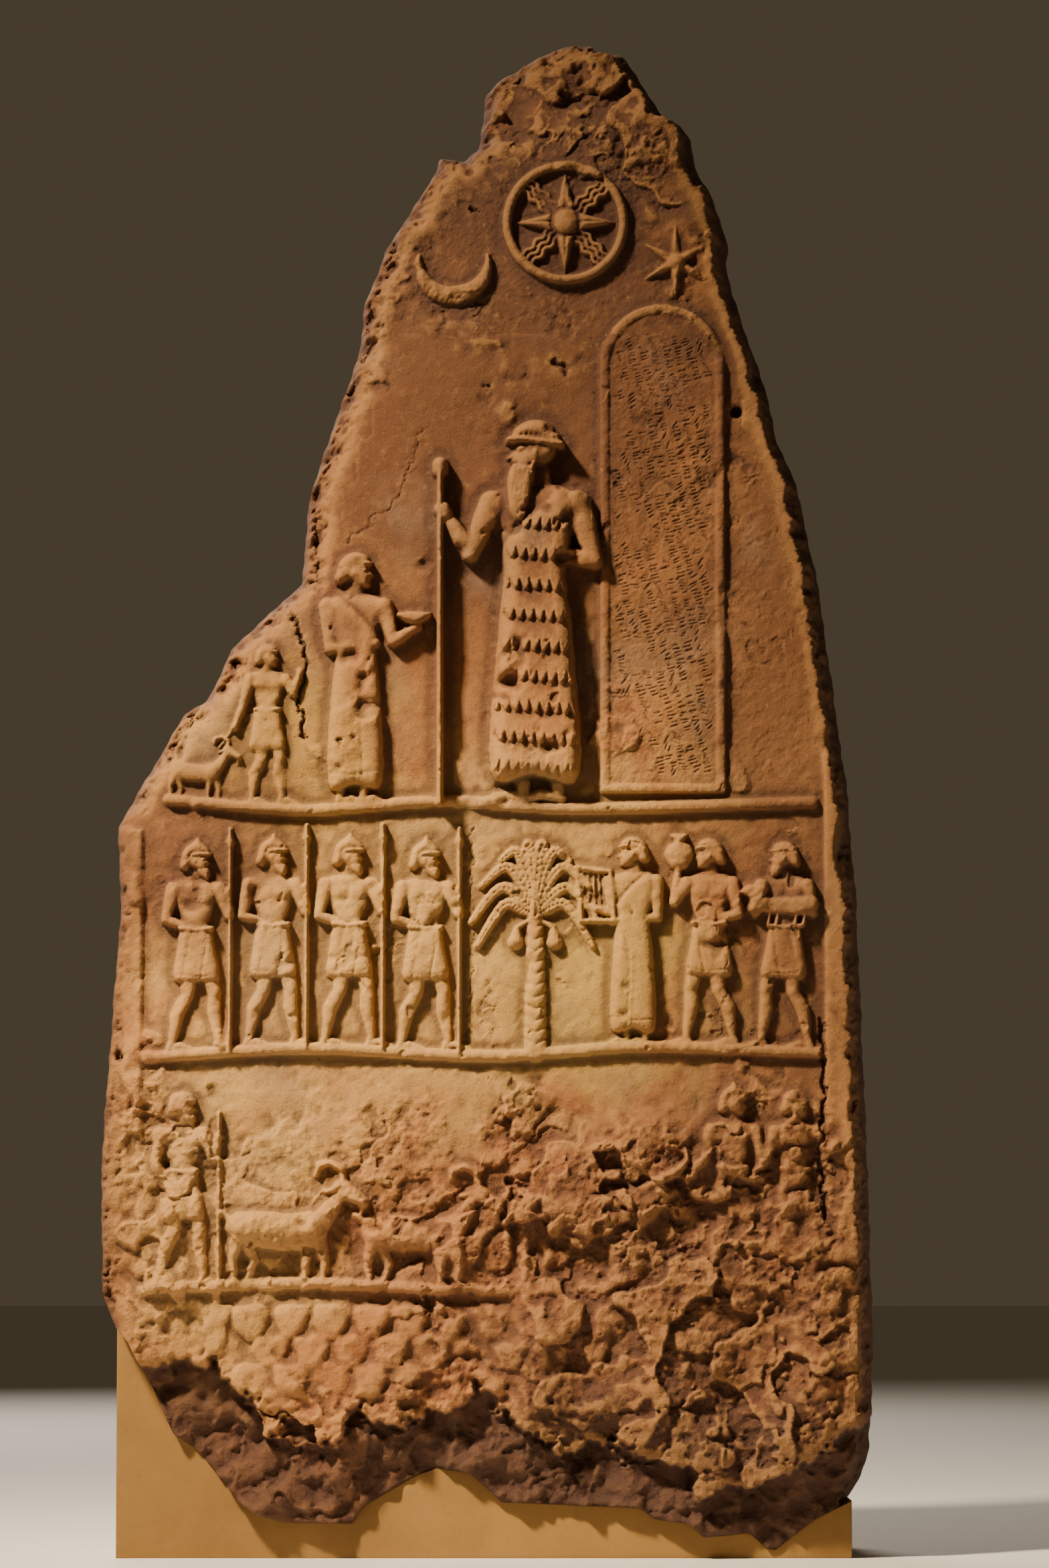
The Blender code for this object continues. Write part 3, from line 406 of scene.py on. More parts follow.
def pole(c, u, low, high, blade=0.0):
    c.limb([(u, low), (u, high)], 0.0095, 0.042, 0.014)
    if blade:
        c.limb([(u, high - blade), (u, high - blade * 0.62), (u, high)], [0.009, 0.021, 0.004],
               [0.042, 0.048, 0.030], 0.010)


def jar(c, u, v, tall):
    r = tall * 0.42
    c.plate([(u - r * 0.45, v), (u + r * 0.45, v), (u + r, v + tall * 0.38), (u + r * 0.75, v + tall * 0.68),
             (u + r * 0.35, v + tall * 0.80), (u + r * 0.55, v + tall), (u - r * 0.55, v + tall),
             (u - r * 0.35, v + tall * 0.80), (u - r * 0.75, v + tall * 0.68), (u - r, v + tall * 0.38)],
            0.045, r * 0.8, 0.022, 4)
    for share in (0.80, 0.56, 0.30):
        edge, middle = v + tall * share, v + tall * (share - 0.04)
        c.groove([(u - r * 0.7, edge), (u, middle), (u + r * 0.7, edge)], 0.006, 0.005)


def beast(canvas, x, ground, size, kind="goat"):
    # a goat or a bull from the side; its size is its length from chest to rump
    c = Carver(canvas, x, ground, size)
    stout = 1.22 if kind == "bull" else 1.0
    legs = (((0.36, 0.40), (0.42, 0.20), 0.40, 0.0), ((-0.38, 0.42), (-0.30, 0.22), -0.36, 0.0),
            ((0.24, 0.40), (0.22, 0.20), 0.22, 0.02), ((-0.46, 0.46), (-0.52, 0.24), -0.50, 0.02))
    for hip, knee, hoof, base in legs:
        c.limb([hip, knee, (hoof, 0.03)], [0.10 * stout, 0.048, 0.03], [0.10, 0.078, 0.068], base, 2.2)
        c.limb([(hoof, 0.035), (hoof + 0.025, 0.012)], [0.034, 0.032], 0.07, base)
    c.plate([(0.46, 0.58), (0.40, 0.74), (0.10, 0.70), (-0.30, 0.73), (-0.52, 0.70), (-0.60, 0.55),
             (-0.50, 0.40), (-0.20, 0.36 - 0.03 * stout), (0.20, 0.34 - 0.03 * stout), (0.42, 0.40)],
            0.14, 0.20, 0.02)
    c.swell((0.30, 0.52), (0.17, 0.20), 0.022)
    c.swell((-0.42, 0.54), (0.16, 0.18), 0.022)
    for k in range(5):
        c.groove([(0.08 - 0.085 * k, 0.64), (0.05 - 0.085 * k, 0.52), (0.07 - 0.085 * k, 0.42)], 0.016, 0.008)
    if kind == "bull":
        c.limb([(0.34, 0.58), (0.60, 0.70)], [0.20, 0.14], [0.15, 0.13], 0.02)
        c.plate([(0.52, 0.82), (0.66, 0.86), (0.84, 0.68), (0.88, 0.55), (0.78, 0.48), (0.64, 0.58),
                 (0.50, 0.64)], 0.13, 0.09, 0.04)
        c.limb([(0.62, 0.85), (0.74, 0.91), (0.82, 1.0), (0.80, 1.08)],
               [0.040, 0.036, 0.026, 0.012], 0.10, 0.03)
        c.swell((0.70, 0.72), (0.035, 0.028), 0.022)
        c.limb([(0.54, 0.80), (0.43, 0.77)], [0.045, 0.028], 0.10, 0.05)
        c.limb([(-0.58, 0.66), (-0.67, 0.50), (-0.64, 0.24)], [0.03, 0.024, 0.036], 0.08)
        c.groove([(0.87, 0.57), (0.80, 0.56)], 0.014, 0.014, 0)
    else:
        c.limb([(0.38, 0.62), (0.52, 0.80), (0.58, 0.92)], [0.13, 0.085, 0.07], [0.12, 0.11, 0.10], 0.02)
        c.plate([(0.50, 0.98), (0.60, 1.04), (0.72, 0.97), (0.86, 0.84), (0.83, 0.76), (0.70, 0.80),
                 (0.56, 0.84)], 0.10, 0.06, 0.04)
        c.swell((0.68, 0.93), (0.028, 0.024), 0.022)
        c.limb([(0.54, 0.95), (0.43, 0.91)], [0.034, 0.016], 0.09, 0.05)
        c.limb([(0.61, 1.02), (0.59, 1.14), (0.48, 1.21), (0.36, 1.18), (0.33, 1.08)],
               [0.042, 0.038, 0.034, 0.028, 0.016], 0.095, 0.02)
        c.limb([(0.80, 0.78), (0.79, 0.68)], [0.032, 0.014], 0.07, 0.02)
        c.limb([(-0.57, 0.66), (-0.65, 0.72)], [0.045, 0.028], 0.08)


def palm(canvas, x, ground, size):
    c = Carver(canvas, x, ground, size)
    c.limb([(0, 0.0), (0, 0.64)], [0.058, 0.042], 0.044, 0.0, 2.2)
    for k in range(11):
        v, w = 0.03 + 0.054 * k, 0.055 - 0.0016 * k
        c.groove([(-w, v + 0.03), (0, v), (w, v + 0.03)], 0.009, 0.009, 0)
    fronds = ((0.30, 0.05, 0.02), (0.27, 0.16, 0.04), (0.20, 0.25, 0.09),
              (0.10, 0.30, 0.16), (0.02, 0.27, 0.19))  # rise, reach and droop
    for side in (-1, 1):
        c.limb([(side * 0.03, 0.61), (side * 0.085, 0.575), (side * 0.09, 0.51)], [0.012, 0.014, 0.040],
               [0.03, 0.035, 0.05])
        for k in range(4):
            seam = [(side * (0.065 + 0.016 * k), 0.54), (side * (0.07 + 0.014 * k), 0.485)]
            c.groove(seam, 0.006, 0.006, 0)
        for k, (rise, reach, droop) in enumerate(fronds):
            spine = splineThrough([(0, 0.63), (side * reach * 0.2, 0.65 + rise * 0.6),
                                   (side * reach * 0.55, 0.66 + rise),
                                   (side * reach, 0.66 + rise - droop)], 5, False)
            share = np.linspace(0, np.pi, len(spine))
            widths = np.linspace(0.026, 0.014, len(spine)) + 0.012 * np.sin(share)
            c.limb(spine, widths, 0.034, 0.004 * (5 - k))
            c.groove(spine, 0.006, 0.006, 0)
            for j in range(2, len(spine) - 1):
                p, d = spine[j], spine[j + 1] - spine[j]
                d = d / np.hypot(*d)
                for way in (-1, 1):
                    tip = (p[0] + d[0] * 0.016 - way * d[1] * 0.03, p[1] + d[1] * 0.016 + way * d[0] * 0.03)
                    c.groove([p, tip], 0.004, 0.006, 0)


# What the scene shows, row by row; heights and places in hundredths of the stone's height.
rows = {
    "upperGround": [(-21.0, 48.9), (-12.0, 48.2), (-3.0, 48.8), (6.0, 48.3), (21.2, 48.7)],
    "middleGround": [(-22.4, 32.0), (-12.0, 32.6), (0.0, 32.1), (10.0, 32.7), (21.6, 32.3)],
    "lowerGround": [(-22.6, 16.9), (-12.0, 17.3), (0.0, 16.8), (10.0, 17.4), (21.6, 17.1)],
    "groundRadius": 0.42, "groundLift": 0.55, "standAbove": 0.15,
    "leaderHeight": 25.0, "bowlBearerHeight": 16.5, "goatBoyHeight": 10.5,
    "middleHeight": 13.5, "lowerHeight": 12.5, "palmHeight": 14.0,
    "kidLength": 3.4, "goatLength": 6.4, "bullLength": 8.0,
    "borderLift": 0.30,
}
panel = {
    "middle": 11.4, "halfWidth": 3.8, "foot": 49.6, "spring": 77.6, "lift": 0.28, "rim": 0.34,
    "columns": 17, "strokes": 190, "sparse": 0.60, "gaps": 0.16, "spaces": 0.12,
    # in metres
    "columnPitch": 0.0150, "strokePitch": 0.0046,
    "strokeLength": 0.0082, "strokeHalfWidth": 0.0014, "strokeDepth": 0.0015,
    "lean": -0.26, "seed": 5,
}


# Each sign's middle and radius.
sky = {"sun": ((5.0, 87.2), 4.1), "star": ((12.3, 84.6), 2.5), "moon": ((-2.4, 84.6), 2.3)}


def carveSky(canvas):
    sun, sunRadius = sky["sun"]
    turn = np.linspace(0, 2 * math.pi, 49)
    rim = np.array(sun) + 0.94 * sunRadius * np.column_stack([np.cos(turn), np.sin(turn)])
    canvas.limb(rim, 0.085 * sunRadius, 0.62)
    for ray in range(8):
        angle = ray * math.pi / 4
        way = np.array([math.sin(angle), math.cos(angle)])
        side = np.array([way[1], -way[0]])
        if ray % 2 == 0:  # pointed ray
            root, flare = sun + way * 0.2 * sunRadius, side * 0.17 * sunRadius
            canvas.plate([sun + way * 0.82 * sunRadius, root + flare, root - flare], 0.62, 0.45, 0.05, 0)
            canvas.groove([sun + way * 0.24 * sunRadius, sun + way * 0.74 * sunRadius], 0.10, 0.14, 0)
        else:  # three waves side by side
            for strand in (-1, 0, 1):
                reach = np.linspace(0.26, 0.84, 14)
                aside = strand * 0.10 + 0.03 * np.sin(26 * reach)
                wave = sun + sunRadius * (np.outer(reach, way) + np.outer(aside, side))
                canvas.limb(wave, 0.045 * sunRadius, 0.40)
    canvas.limb([sun, (sun[0], sun[1] + 0.01)], 0.25 * sunRadius, 0.85)
    star, starRadius = sky["star"]
    for ray in range(6):
        angle = ray * math.pi / 3
        way = np.array([math.sin(angle), math.cos(angle)])
        side = np.array([way[1], -way[0]]) * 0.16 * starRadius
        canvas.plate([star + way * starRadius, star + side + way * 0.15 * starRadius,
                      star - side + way * 0.15 * starRadius], 0.50, 0.35, 0.0, 0)
    canvas.limb([star, (star[0], star[1] + 0.01)], 0.27 * starRadius, 0.72)
    moon, moonRadius = sky["moon"]
    arc = np.radians(np.linspace(170, 370, 31))
    thick = moonRadius * (0.06 + 0.24 * np.sin(np.linspace(0, math.pi, 31)))
    crescent = np.array(moon) + moonRadius * np.column_stack([np.cos(arc), np.sin(arc)])
    canvas.limb(crescent, thick, 0.6)


def panelArch(grow=0.0):
    turn = np.linspace(0, math.pi, 25)
    wide = panel["halfWidth"] + grow
    arch = [(panel["middle"] + wide * math.cos(a), panel["spring"] + wide * math.sin(a)) for a in turn]
    low = panel["foot"] - grow
    return [(panel["middle"] + wide, low), *arch, (panel["middle"] - wide, low)]


def carvePanel(canvas):
    canvas.plate(panelArch(), panel["lift"], 0.2, smooth=0)
    canvas.limb([*panelArch(), panelArch()[0]], panel["rim"], panel["lift"], panel["lift"] * 0.6)


def carveUpperRow(canvas):
    ground = rows["upperGround"]
    leader = Carver(canvas, 3.0, ground, rows["leaderHeight"], -1)
    pole(leader, 0.25, 0.0, 0.88)
    leader.limb([(0.25, 0.88), (0.25, 0.895)], 0.022, 0.055)
    person(canvas, 3.0, ground, rows["leaderHeight"], -1, "flounced", "cap", "long",
           ((0.17, 0.66), (0.235, 0.76)), ((-0.155, 0.64), (-0.02, 0.66)))
    bowlBearer = person(canvas, -8.8, ground, rows["bowlBearerHeight"], 1, "robe", "hair", "none",
                        ((0.15, 0.65), (0.23, 0.70)), ((-0.10, 0.62), (0.06, 0.64)))
    bowlBearer.plate([(0.20, 0.722), (0.265, 0.722), (0.30, 0.765), (0.165, 0.765)], 0.048, 0.02, 0.03, 3)
    goatBoy = person(canvas, -14.6, ground, rows["goatBoyHeight"], 1, "kilt", "hair", "none",
                     ((0.16, 0.70), (0.20, 0.82)), ((-0.15, 0.62), (-0.20, 0.50)), 0.10)
    goatBoy.limb([(-0.20, 0.50), (-0.27, 0.40), (-0.30, 0.36)], 0.008, 0.02)
    beast(canvas, -19.2, ground, rows["kidLength"])


def carveMiddleRow(canvas):
    ground, size = rows["middleGround"], rows["middleHeight"]
    for x in (-19.2, -14.2, -9.2, -4.2):
        spearman = Carver(canvas, x, ground, size)
        pole(spearman, 0.165, 0.0, 1.08, 0.10)
        person(canvas, x, ground, size, 1, "kilt", "helmet", "short", ((0.16, 0.66), (0.155, 0.76)),
               ((-0.145, 0.64), (-0.03, 0.60)))
    palm(canvas, 3.0, ground, rows["palmHeight"])
    lyrePlayer = person(canvas, 9.4, ground, size, -1, "robe", "hair", "none", ((0.10, 0.64), (0.18, 0.66)),
                        ((-0.12, 0.62), (0.08, 0.60)))
    lyre = [(0.09, 0.60), (0.11, 0.84), (0.27, 0.86), (0.25, 0.60), (0.09, 0.60)]
    lyrePlayer.limb(lyre, 0.013, 0.038, 0.024)
    for k in range(5):
        lyrePlayer.limb([(0.125 + 0.028 * k, 0.61), (0.14 + 0.026 * k, 0.84)], 0.004, 0.026, 0.01)
    jarBearer = person(canvas, 14.4, ground, size, -1, "kilt", "hair", "none", ((0.17, 0.70), (0.15, 0.86)),
                       ((-0.14, 0.64), (-0.02, 0.62)))
    jar(jarBearer, 0.145, 0.86, 0.17)
    lambBearer = person(canvas, 19.3, ground, size, -1, "kilt", "hair", "short", ((0.14, 0.66), (0.06, 0.70)),
                        ((-0.14, 0.66), (-0.04, 0.68)))
    lambBearer.plate([(-0.15, 0.74), (0.10, 0.745), (0.15, 0.80), (0.20, 0.785), (0.205, 0.75), (0.16, 0.72),
                      (0.08, 0.65), (-0.13, 0.65)], 0.048, 0.04, 0.034)
    for u in (-0.10, -0.06, 0.03, 0.07):
        lambBearer.limb([(u, 0.67), (u + 0.01, 0.60)], 0.011, 0.04, 0.03)
    arm(lambBearer, (0.112, 0.79), (0.15, 0.68), (0.02, 0.69), 0.045)


def carveLowerRow(canvas):
    ground, size = rows["lowerGround"], rows["lowerHeight"]
    herdsman = Carver(canvas, -20.0, ground, size)
    pole(herdsman, 0.19, 0.0, 0.90)
    person(canvas, -20.0, ground, size, 1, "kilt", "hair", "short", ((0.16, 0.66), (0.18, 0.76)),
           ((-0.14, 0.64), (-0.08, 0.52)))
    for x in (-13.4, -4.6):
        beast(canvas, x, ground, rows["goatLength"])
    beast(canvas, 6.4, ground, rows["bullLength"], "bull")
    for x, cover in ((15.9, "helmet"), (20.0, "hair")):
        person(canvas, x, ground, size, 1, "kilt", cover, "none", ((0.15, 0.64), (0.20, 0.72)),
               ((-0.15, 0.64), (-0.22, 0.56)))


def carveBorders(canvas):
    lift = rows["borderLift"]
    canvas.plate([(-24.0, 27.0), (-24.0, 47.0), (-22.7, 47.0), (-22.7, 27.0)], lift, 0.25, smooth=0)
    canvas.plate([(21.9, 14.0), (21.9, 52.0), (24.0, 52.0), (24.6, 14.0)], lift, 0.25, smooth=0)
    for key in ("upperGround", "middleGround", "lowerGround"):
        canvas.limb(splineThrough(rows[key], 12, False), rows["groundRadius"], rows["groundLift"])


hill = {"rows": 3, "columns": 11, "left": -15.5, "top": 15.6, "pitch": 2.6, "drop": 1.9, "lift": 0.40}


def carveHill(canvas):
    # overlapping scales, each row half a scale across from the one above
    for row in range(hill["rows"]):
        for column in range(hill["columns"]):
            x = hill["left"] + hill["pitch"] * (column + 0.5 * (row % 2))
            z = hill["top"] - hill["drop"] * row
            canvas.plate([(x - 1.2, z), (x, z + 0.4), (x + 1.2, z), (x + 0.8, z - 1.5), (x, z - 2.0),
                          (x - 0.8, z - 1.5)], hill["lift"] - 0.05 * row, 0.5)


weathering = {
    "softening": 0.035, "boldness": 1.15,
    "fineGrain": 0.004, "pitting": 0.010, "swell": 0.10, "flakes": 0.020,
    "boulders": 0.40, "slabs": 0.24, "flints": 0.105, "crumbs": 0.038,
    "roughLumps": 0.28, "roughGrain": 0.018,
    "brokenEdgeWidth": 2.0, "brokenEdgeDrop": 4.0, "flankWidth": 1.2, "flankDrop": 5.0,
    "lostLayer": 1.8, "breakStep": 0.35, "topLean": 1.0, "crownStep": 2.0,
    "lostRelief": 0.55, "wornRelief": 0.35, "chipDepth": 0.15, "scarDepth": 0.09,
}


def roughness():
    # how far each place has worn away, from 0 where it is whole to 1 where it is rough rock;
    # each zone starts at a line and grows over a width, both in hundredths
    x, z = gridX, gridZ
    blotches = fractalNoise(11, 16, 1.5)
    lower = smoothStep((31.5 - z + 1.6 * blotches) / 7)
    lower = lower * (0.50 + 0.50 * smoothStep((x + 6 + 3 * blotches) / 9))
    top = smoothStep((z - 88.5 + 1.8 * blotches + 0.25 * (x - 5)) / 5)
    leftTop = 0.55 * smoothStep((-2.0 - x + 0.33 * (z - 84) + 1.8 * blotches) / 5)
    leftTop = leftTop * smoothStep((z - 66) / 10)
    foot = smoothStep((13 - z + 1.2 * blotches) / 4)
    leftFoot = 0.85 * smoothStep((-17.5 - x + 1.5 * blotches) / 4)
    leftFoot = leftFoot * smoothStep((34 - z + 2 * blotches) / 6)
    scattered = 0.35 * smoothStep((blotches - 1.5) / 0.6)
    return np.clip(np.maximum.reduce([lower, top, leftTop, foot, leftFoot, scattered]), 0, 1)


def edgeFall():
    # how far the face falls away towards its edges, and how deep inside the edge each place is
    x, z = gridX, gridZ
    sides = [*leftSide, *rightSide]
    distance, _ = lineDistance(x, z, sides)
    _, inside = lineDistance(x, z, [*sides, (rightSide[-1][0], -5), (leftSide[0][0], -5)], closed=True)
    distance = np.where(inside, distance, 0)
    left = x < np.interp(z, [0, 50, 75, 92, 100], [0, 1, 5, 6, 7])
    bite = np.where(left, 0.20, 0.09) * smoothStep(distance / 0.5) * smoothStep((3.5 - distance) / 2)
    ragged = distance + bite * (fractalNoise(12, 4, 0.3) + 0.8 * chips(53, 1.3))
    broken = np.interp(z, [0, 46, 51, 100], [0.3, 0.3, 1.0, 0.8])
    fromLeft = 1 - np.clip(ragged / (weathering["brokenEdgeWidth"] * broken), 0, 1)
    fallLeft = weathering["brokenEdgeDrop"] * broken * fromLeft ** 2.4
    fallRight = weathering["flankDrop"] * (1 - np.clip(ragged / weathering["flankWidth"], 0, 1))
    return np.where(left, fallLeft, fallRight), distance


def lostLayer():
    # how far the stone falls back below the break, and the break's own shading mask
    bendX, bendZ = 0.35 * fractalNoise(13, 5, 0.4), 0.35 * fractalNoise(14, 5, 0.4)
    x, z = gridX + bendX, gridZ + bendZ
    distance, _ = lineDistance(x, z, breakLine)
    below = np.where(z < np.interp(x, *zip(*sorted(breakLine))), distance, -distance)
    mask = smoothStep(below / (2 * weathering["breakStep"]) + 0.5)
    return weathering["lostLayer"] * mask * (0.80 + 0.12 * fractalNoise(15, 6, 1)), mask


# Cracks, pits and chips: the line of each, half its width and its depth.
cracks = (
    ([(-13.4, 61.9), (-12.4, 59.6), (-12.0, 57.8), (-12.5, 55.4), (-12.1, 53.0)], 0.16, 0.45),
    ([(21.7, 34.6), (21.9, 30.0), (21.6, 26.0), (21.9, 21.4)], 0.22, 0.50),
    ([(-9.2, 66.0), (-6.0, 69.0), (-4.4, 73.5)], 0.08, 0.10),
    ([(14.6, 42.0), (15.6, 38.0), (15.1, 33.5)], 0.07, 0.10),
    ([(-1.2, 47.5), (-1.0, 40.0), (-1.6, 33.0)], 0.07, 0.12),
    ([(-4.1, 16.5), (-4.0, 15.9)], 0.55, 0.9),
    ([(1.5, 23.7), (1.7, 23.1)], 0.5, 0.8),
    ([(-9.8, 52.7), (-9.7, 52.6)], 0.28, 0.35),
    ([(4.3, 78.0), (4.9, 77.3)], 0.30, 0.35),
    ([(-0.2, 76.2), (-0.1, 76.1)], 0.20, 0.25),
    ([(-1.1, 88.1), (-1.0, 88.0)], 0.30, 0.40),
)
hole = {"middle": (16.3, 74.6), "radius": 0.40, "rim": 0.75, "depth": 1.5, "rimDepth": 0.10}
gouge = {"middle": (23.4, 45.8), "halfWidth": 0.9, "halfHeight": 2.6, "depth": 1.5}


def chisel(recess, points, width, depth, ragged):
    where, x, z = window(points, width * 3)
    distance, _ = lineDistance(x + ragged[where], z + np.roll(ragged, 97)[where], points)
    recess[where] += depth * np.clip(1 - distance / width, 0, 1) ** 0.8


def weatheredFace():
    canvas = Canvas()
    for carve in (carveHill, carveBorders, carveSky, carvePanel,
                  carveUpperRow, carveMiddleRow, carveLowerRow):
        carve(canvas)
    print("carved the relief")
    worn = roughness()
    relief = blurred(canvas.height, weathering["softening"])
    softer, softest = blurred(relief, 0.10), blurred(relief, 0.24)
    lost = smoothStep((gridX + 3) / 9) * smoothStep((27 - gridZ) / 8)
    blotches = fractalNoise(16, 9, 0.8)
    some = smoothStep(worn * 1.1 - 0.05)
    relief = relief + (softer - relief) * np.clip(some * 1.2 + 0.25, 0, 1)
    relief = relief + (softest - relief) * smoothStep(lost + 0.2 * blotches)
    relief = relief * (1 - weathering["lostRelief"] * smoothStep(1.5 * lost + 0.45 * blotches - 0.35))
    relief = relief * (1 - weathering["wornRelief"] * smoothStep((worn - 0.75) / 0.25))
    flaked = smoothStep((fractalNoise(17, 4, 0.6) - 1.9) / 0.4)
    chipped = np.clip(0.5 * (relief - 0.25), 0, weathering["chipDepth"])
    relief = relief - chipped * flaked  # chipped high spots

    fall, inner = edgeFall()
    gone, breakMask = lostLayer()
    within = smoothStep(inner / 1.2)
    lumps = fractalNoise(18, 12, 1.2, 2.2)
    grain = fractalNoise(19, 1.3, 0.14, 1.5)
    crumbs = chips(47, 0.42)
    rock = (weathering["boulders"] * chips(41, 5.0) + weathering["slabs"] * chips(43, 2.1)
            + weathering["flints"] * chips(45, 0.95) + weathering["crumbs"] * crumbs
            + weathering["roughLumps"] * lumps + weathering["roughGrain"] * grain)
    recess = fall + gone
    recess += weathering["swell"] * fractalNoise(22, 24, 5) * within
    recess += blurred(rock, 0.05) * worn * within
    recess += weathering["pitting"] * grain + weathering["fineGrain"] * fractalNoise(23, 0.5, 0.13, 1.0)
    recess += weathering["flakes"] * blurred(crumbs + 1.5 * chips(49, 1.6), 0.06)
    scars = smoothStep((chips(51, 3.4, tilt=0.1) - 0.74) / 0.1)
    scars = scars * smoothStep((fractalNoise(20, 9, 1) + 0.2) / 0.5)
    # shallow places where the skin has come off
    recess += weathering["scarDepth"] * blurred(scars, 0.05) * (1 + 0.4 * crumbs)
    recess += weathering["topLean"] * smoothStep((gridZ - 88) / 12)
    crownLeft = smoothStep((3.5 - gridX) / 2) * smoothStep((gridZ - 92.3) / 1.5)
    recess += weathering["crownStep"] * crownLeft
    across = (gridX - gouge["middle"][0]) / gouge["halfWidth"]
    up = (gridZ - gouge["middle"][1]) / gouge["halfHeight"]
    recess += gouge["depth"] * np.clip(1 - across ** 2 - up ** 2 + 0.1 * lumps, 0, 1)

    ragged = 0.10 * fractalNoise(24, 2, 0.2)
    for points, width, depth in cracks:
        chisel(recess, points, width, depth, ragged)
    fromHole = np.hypot(gridX - hole["middle"][0], gridZ - hole["middle"][1])
    recess += hole["depth"] * smoothStep((hole["radius"] - fromHole) / 0.10)
    recess += hole["rimDepth"] * smoothStep((hole["rim"] - fromHole) / 0.4)
    print("weathered the face")
    return recess - weathering["boldness"] * relief, worn, breakMask, inner


stone = {
    "depth": 0.28, "skin": 0.006, "hollowDepth": 0.0022,  # in metres
    "hollowReach": 0.45, "backWidth": 4.5, "backDrop": 2.75,
    "backSwell": 0.2, "backGrain": 0.08, "backDressing": 0.13,
    "bodyTriangles": 138000, "carvingTriangles": 92000, "writtenTriangles": 175000, "backTriangles": 24000,
}
faceY = -stone["depth"] / 2
recess, worn, breakMask, inner = weatheredFace()
surface = faceY + unit * recess  # where the front lies along Y, in metres
# how far each place lies in a hollow or on a high spot; the material turns this into painted shade in the
# hollows and painted highlights on the high spots
cavityShadeAndHighlight = np.clip((surface - blurred(surface, stone["hollowReach"])) / stone["hollowDepth"], -1, 1)
# how near each place is to the stone's edge; the material paints shade there
nearEdge = 1 - smoothStep((inner - 0.3) / 1.5)


def sampled(field, x, z):
    across, up = (x - xs[0]) / step, (z - zs[0]) / step
    j = np.clip(np.floor(across).astype(int), 0, len(xs) - 2)
    i = np.clip(np.floor(up).astype(int), 0, len(zs) - 2)
    u, v = across - j, up - i
    return ((field[i, j] * (1 - u) + field[i, j + 1] * u) * (1 - v)
            + (field[i + 1, j] * (1 - u) + field[i + 1, j + 1] * u) * v)


def flatness(field, size):
    # the greatest height of the surface over or under a cell's four corners, for cells of one size
    low, right = field[:-size:size, :-size:size], field[:-size:size, size::size]
    up, far = field[size::size, :-size:size], field[size::size, size::size]
    worst = np.zeros(low.shape)
    for i in range(0, size + 1, max(1, size // 8)):
        for j in range(0, size + 1, max(1, size // 8)):
            u, v = j / size, i / size
            seen = field[i:i + size * low.shape[0]:size, j:j + size * low.shape[1]:size]
            level = (low * (1 - u) + right * u) * (1 - v) + (up * (1 - u) + far * u) * v
            worst = np.maximum(worst, np.abs(seen[:low.shape[0], :low.shape[1]] - level))
    return worst


def mergedCells(errors, held, tolerance, beyond):
    # for each cell size, the whole cells: as flat as asked for, with no neighbour under half their size
    whole = [held]
    for error in errors:
        below = np.pad(whole[-1], 1, constant_values=beyond)
        ring = np.ones(error.shape, bool)
        for i in range(4):
            for j in range(4):
                part = below[i:i + 2 * error.shape[0]:2, j:j + 2 * error.shape[1]:2]
                ring &= part[:error.shape[0], :error.shape[1]]
        whole.append(ring & (error < tolerance))
    return whole


def cellTriangles(whole, smallest):
    # two triangles for a plain cell, or a fan about its middle where a neighbour is finer
    made = []
    columns = len(xs)
    touched = whole[0]
    for level, cells in enumerate(whole):
        size = smallest << level
        leaf = cells.copy()
        if level:
            touched = touched[::2, ::2] | touched[1::2, ::2] | touched[::2, 1::2] | touched[1::2, 1::2]
        if level + 1 < len(whole):
            leaf &= ~whole[level + 1].repeat(2, 0).repeat(2, 1)
        row, column = np.nonzero(leaf)
        base, half = row * size * columns + column * size, size // 2
        corner = [base, base + size, base + size * columns + size, base + size * columns]
        middle = [base + half, base + size + half * columns,
                  base + size * columns + half, base + half * columns]
        centre = base + half * columns + half
        around = np.pad(cells | ~touched, 1, constant_values=True)
        finer = [~around[row, column + 1], ~around[row + 1, column + 2], ~around[row + 2, column + 1],
                 ~around[row + 1, column]]
        plain = ~np.any(finer, axis=0)
        made.append(np.column_stack([corner[0], corner[1], corner[2]])[plain])
        made.append(np.column_stack([corner[0], corner[2], corner[3]])[plain])
        for side in range(4):
            start, end = corner[side], corner[(side + 1) % 4]
            split = finer[side]
            made.append(np.column_stack([start, end, centre])[~plain & ~split])
            made.append(np.column_stack([start, middle[side], centre])[~plain & split])
            made.append(np.column_stack([middle[side], end, centre])[~plain & split])
    return np.concatenate(made)


def fittedTriangles(field, region, smallest, largest, most, beyond, care=None, tolerance=0.0001):
    # the finest mesh of the region's cells that stays within its count of triangles
    held = region[::smallest, ::smallest]
    errors, size = [], smallest * 2
    while size <= largest:
        error = flatness(field, size)
        if care is not None:
            error = error * care[size // 2::size, size // 2::size][:len(error)]
        errors.append(error)
        size *= 2
    while True:
        levels = mergedCells(errors, held | ~held & beyond, tolerance, beyond)
        size = smallest
        for level, cells in enumerate(levels):
            levels[level] = cells & region[::size, ::size]
            size *= 2
        triangles = cellTriangles(levels, smallest)
        if len(triangles) <= most or tolerance > 0.01:
            return triangles, tolerance
        tolerance *= 1.25


def openEdges(triangles):
    ends = np.concatenate([triangles[:, [0, 1]], triangles[:, [1, 2]], triangles[:, [2, 0]]])
    low, high = ends.min(axis=1), ends.max(axis=1)
    code = low.astype(np.int64) * (int(ends.max()) + 1) + high
    _, first, count = np.unique(code, return_index=True, return_counts=True)
    return ends[first[count == 1]]


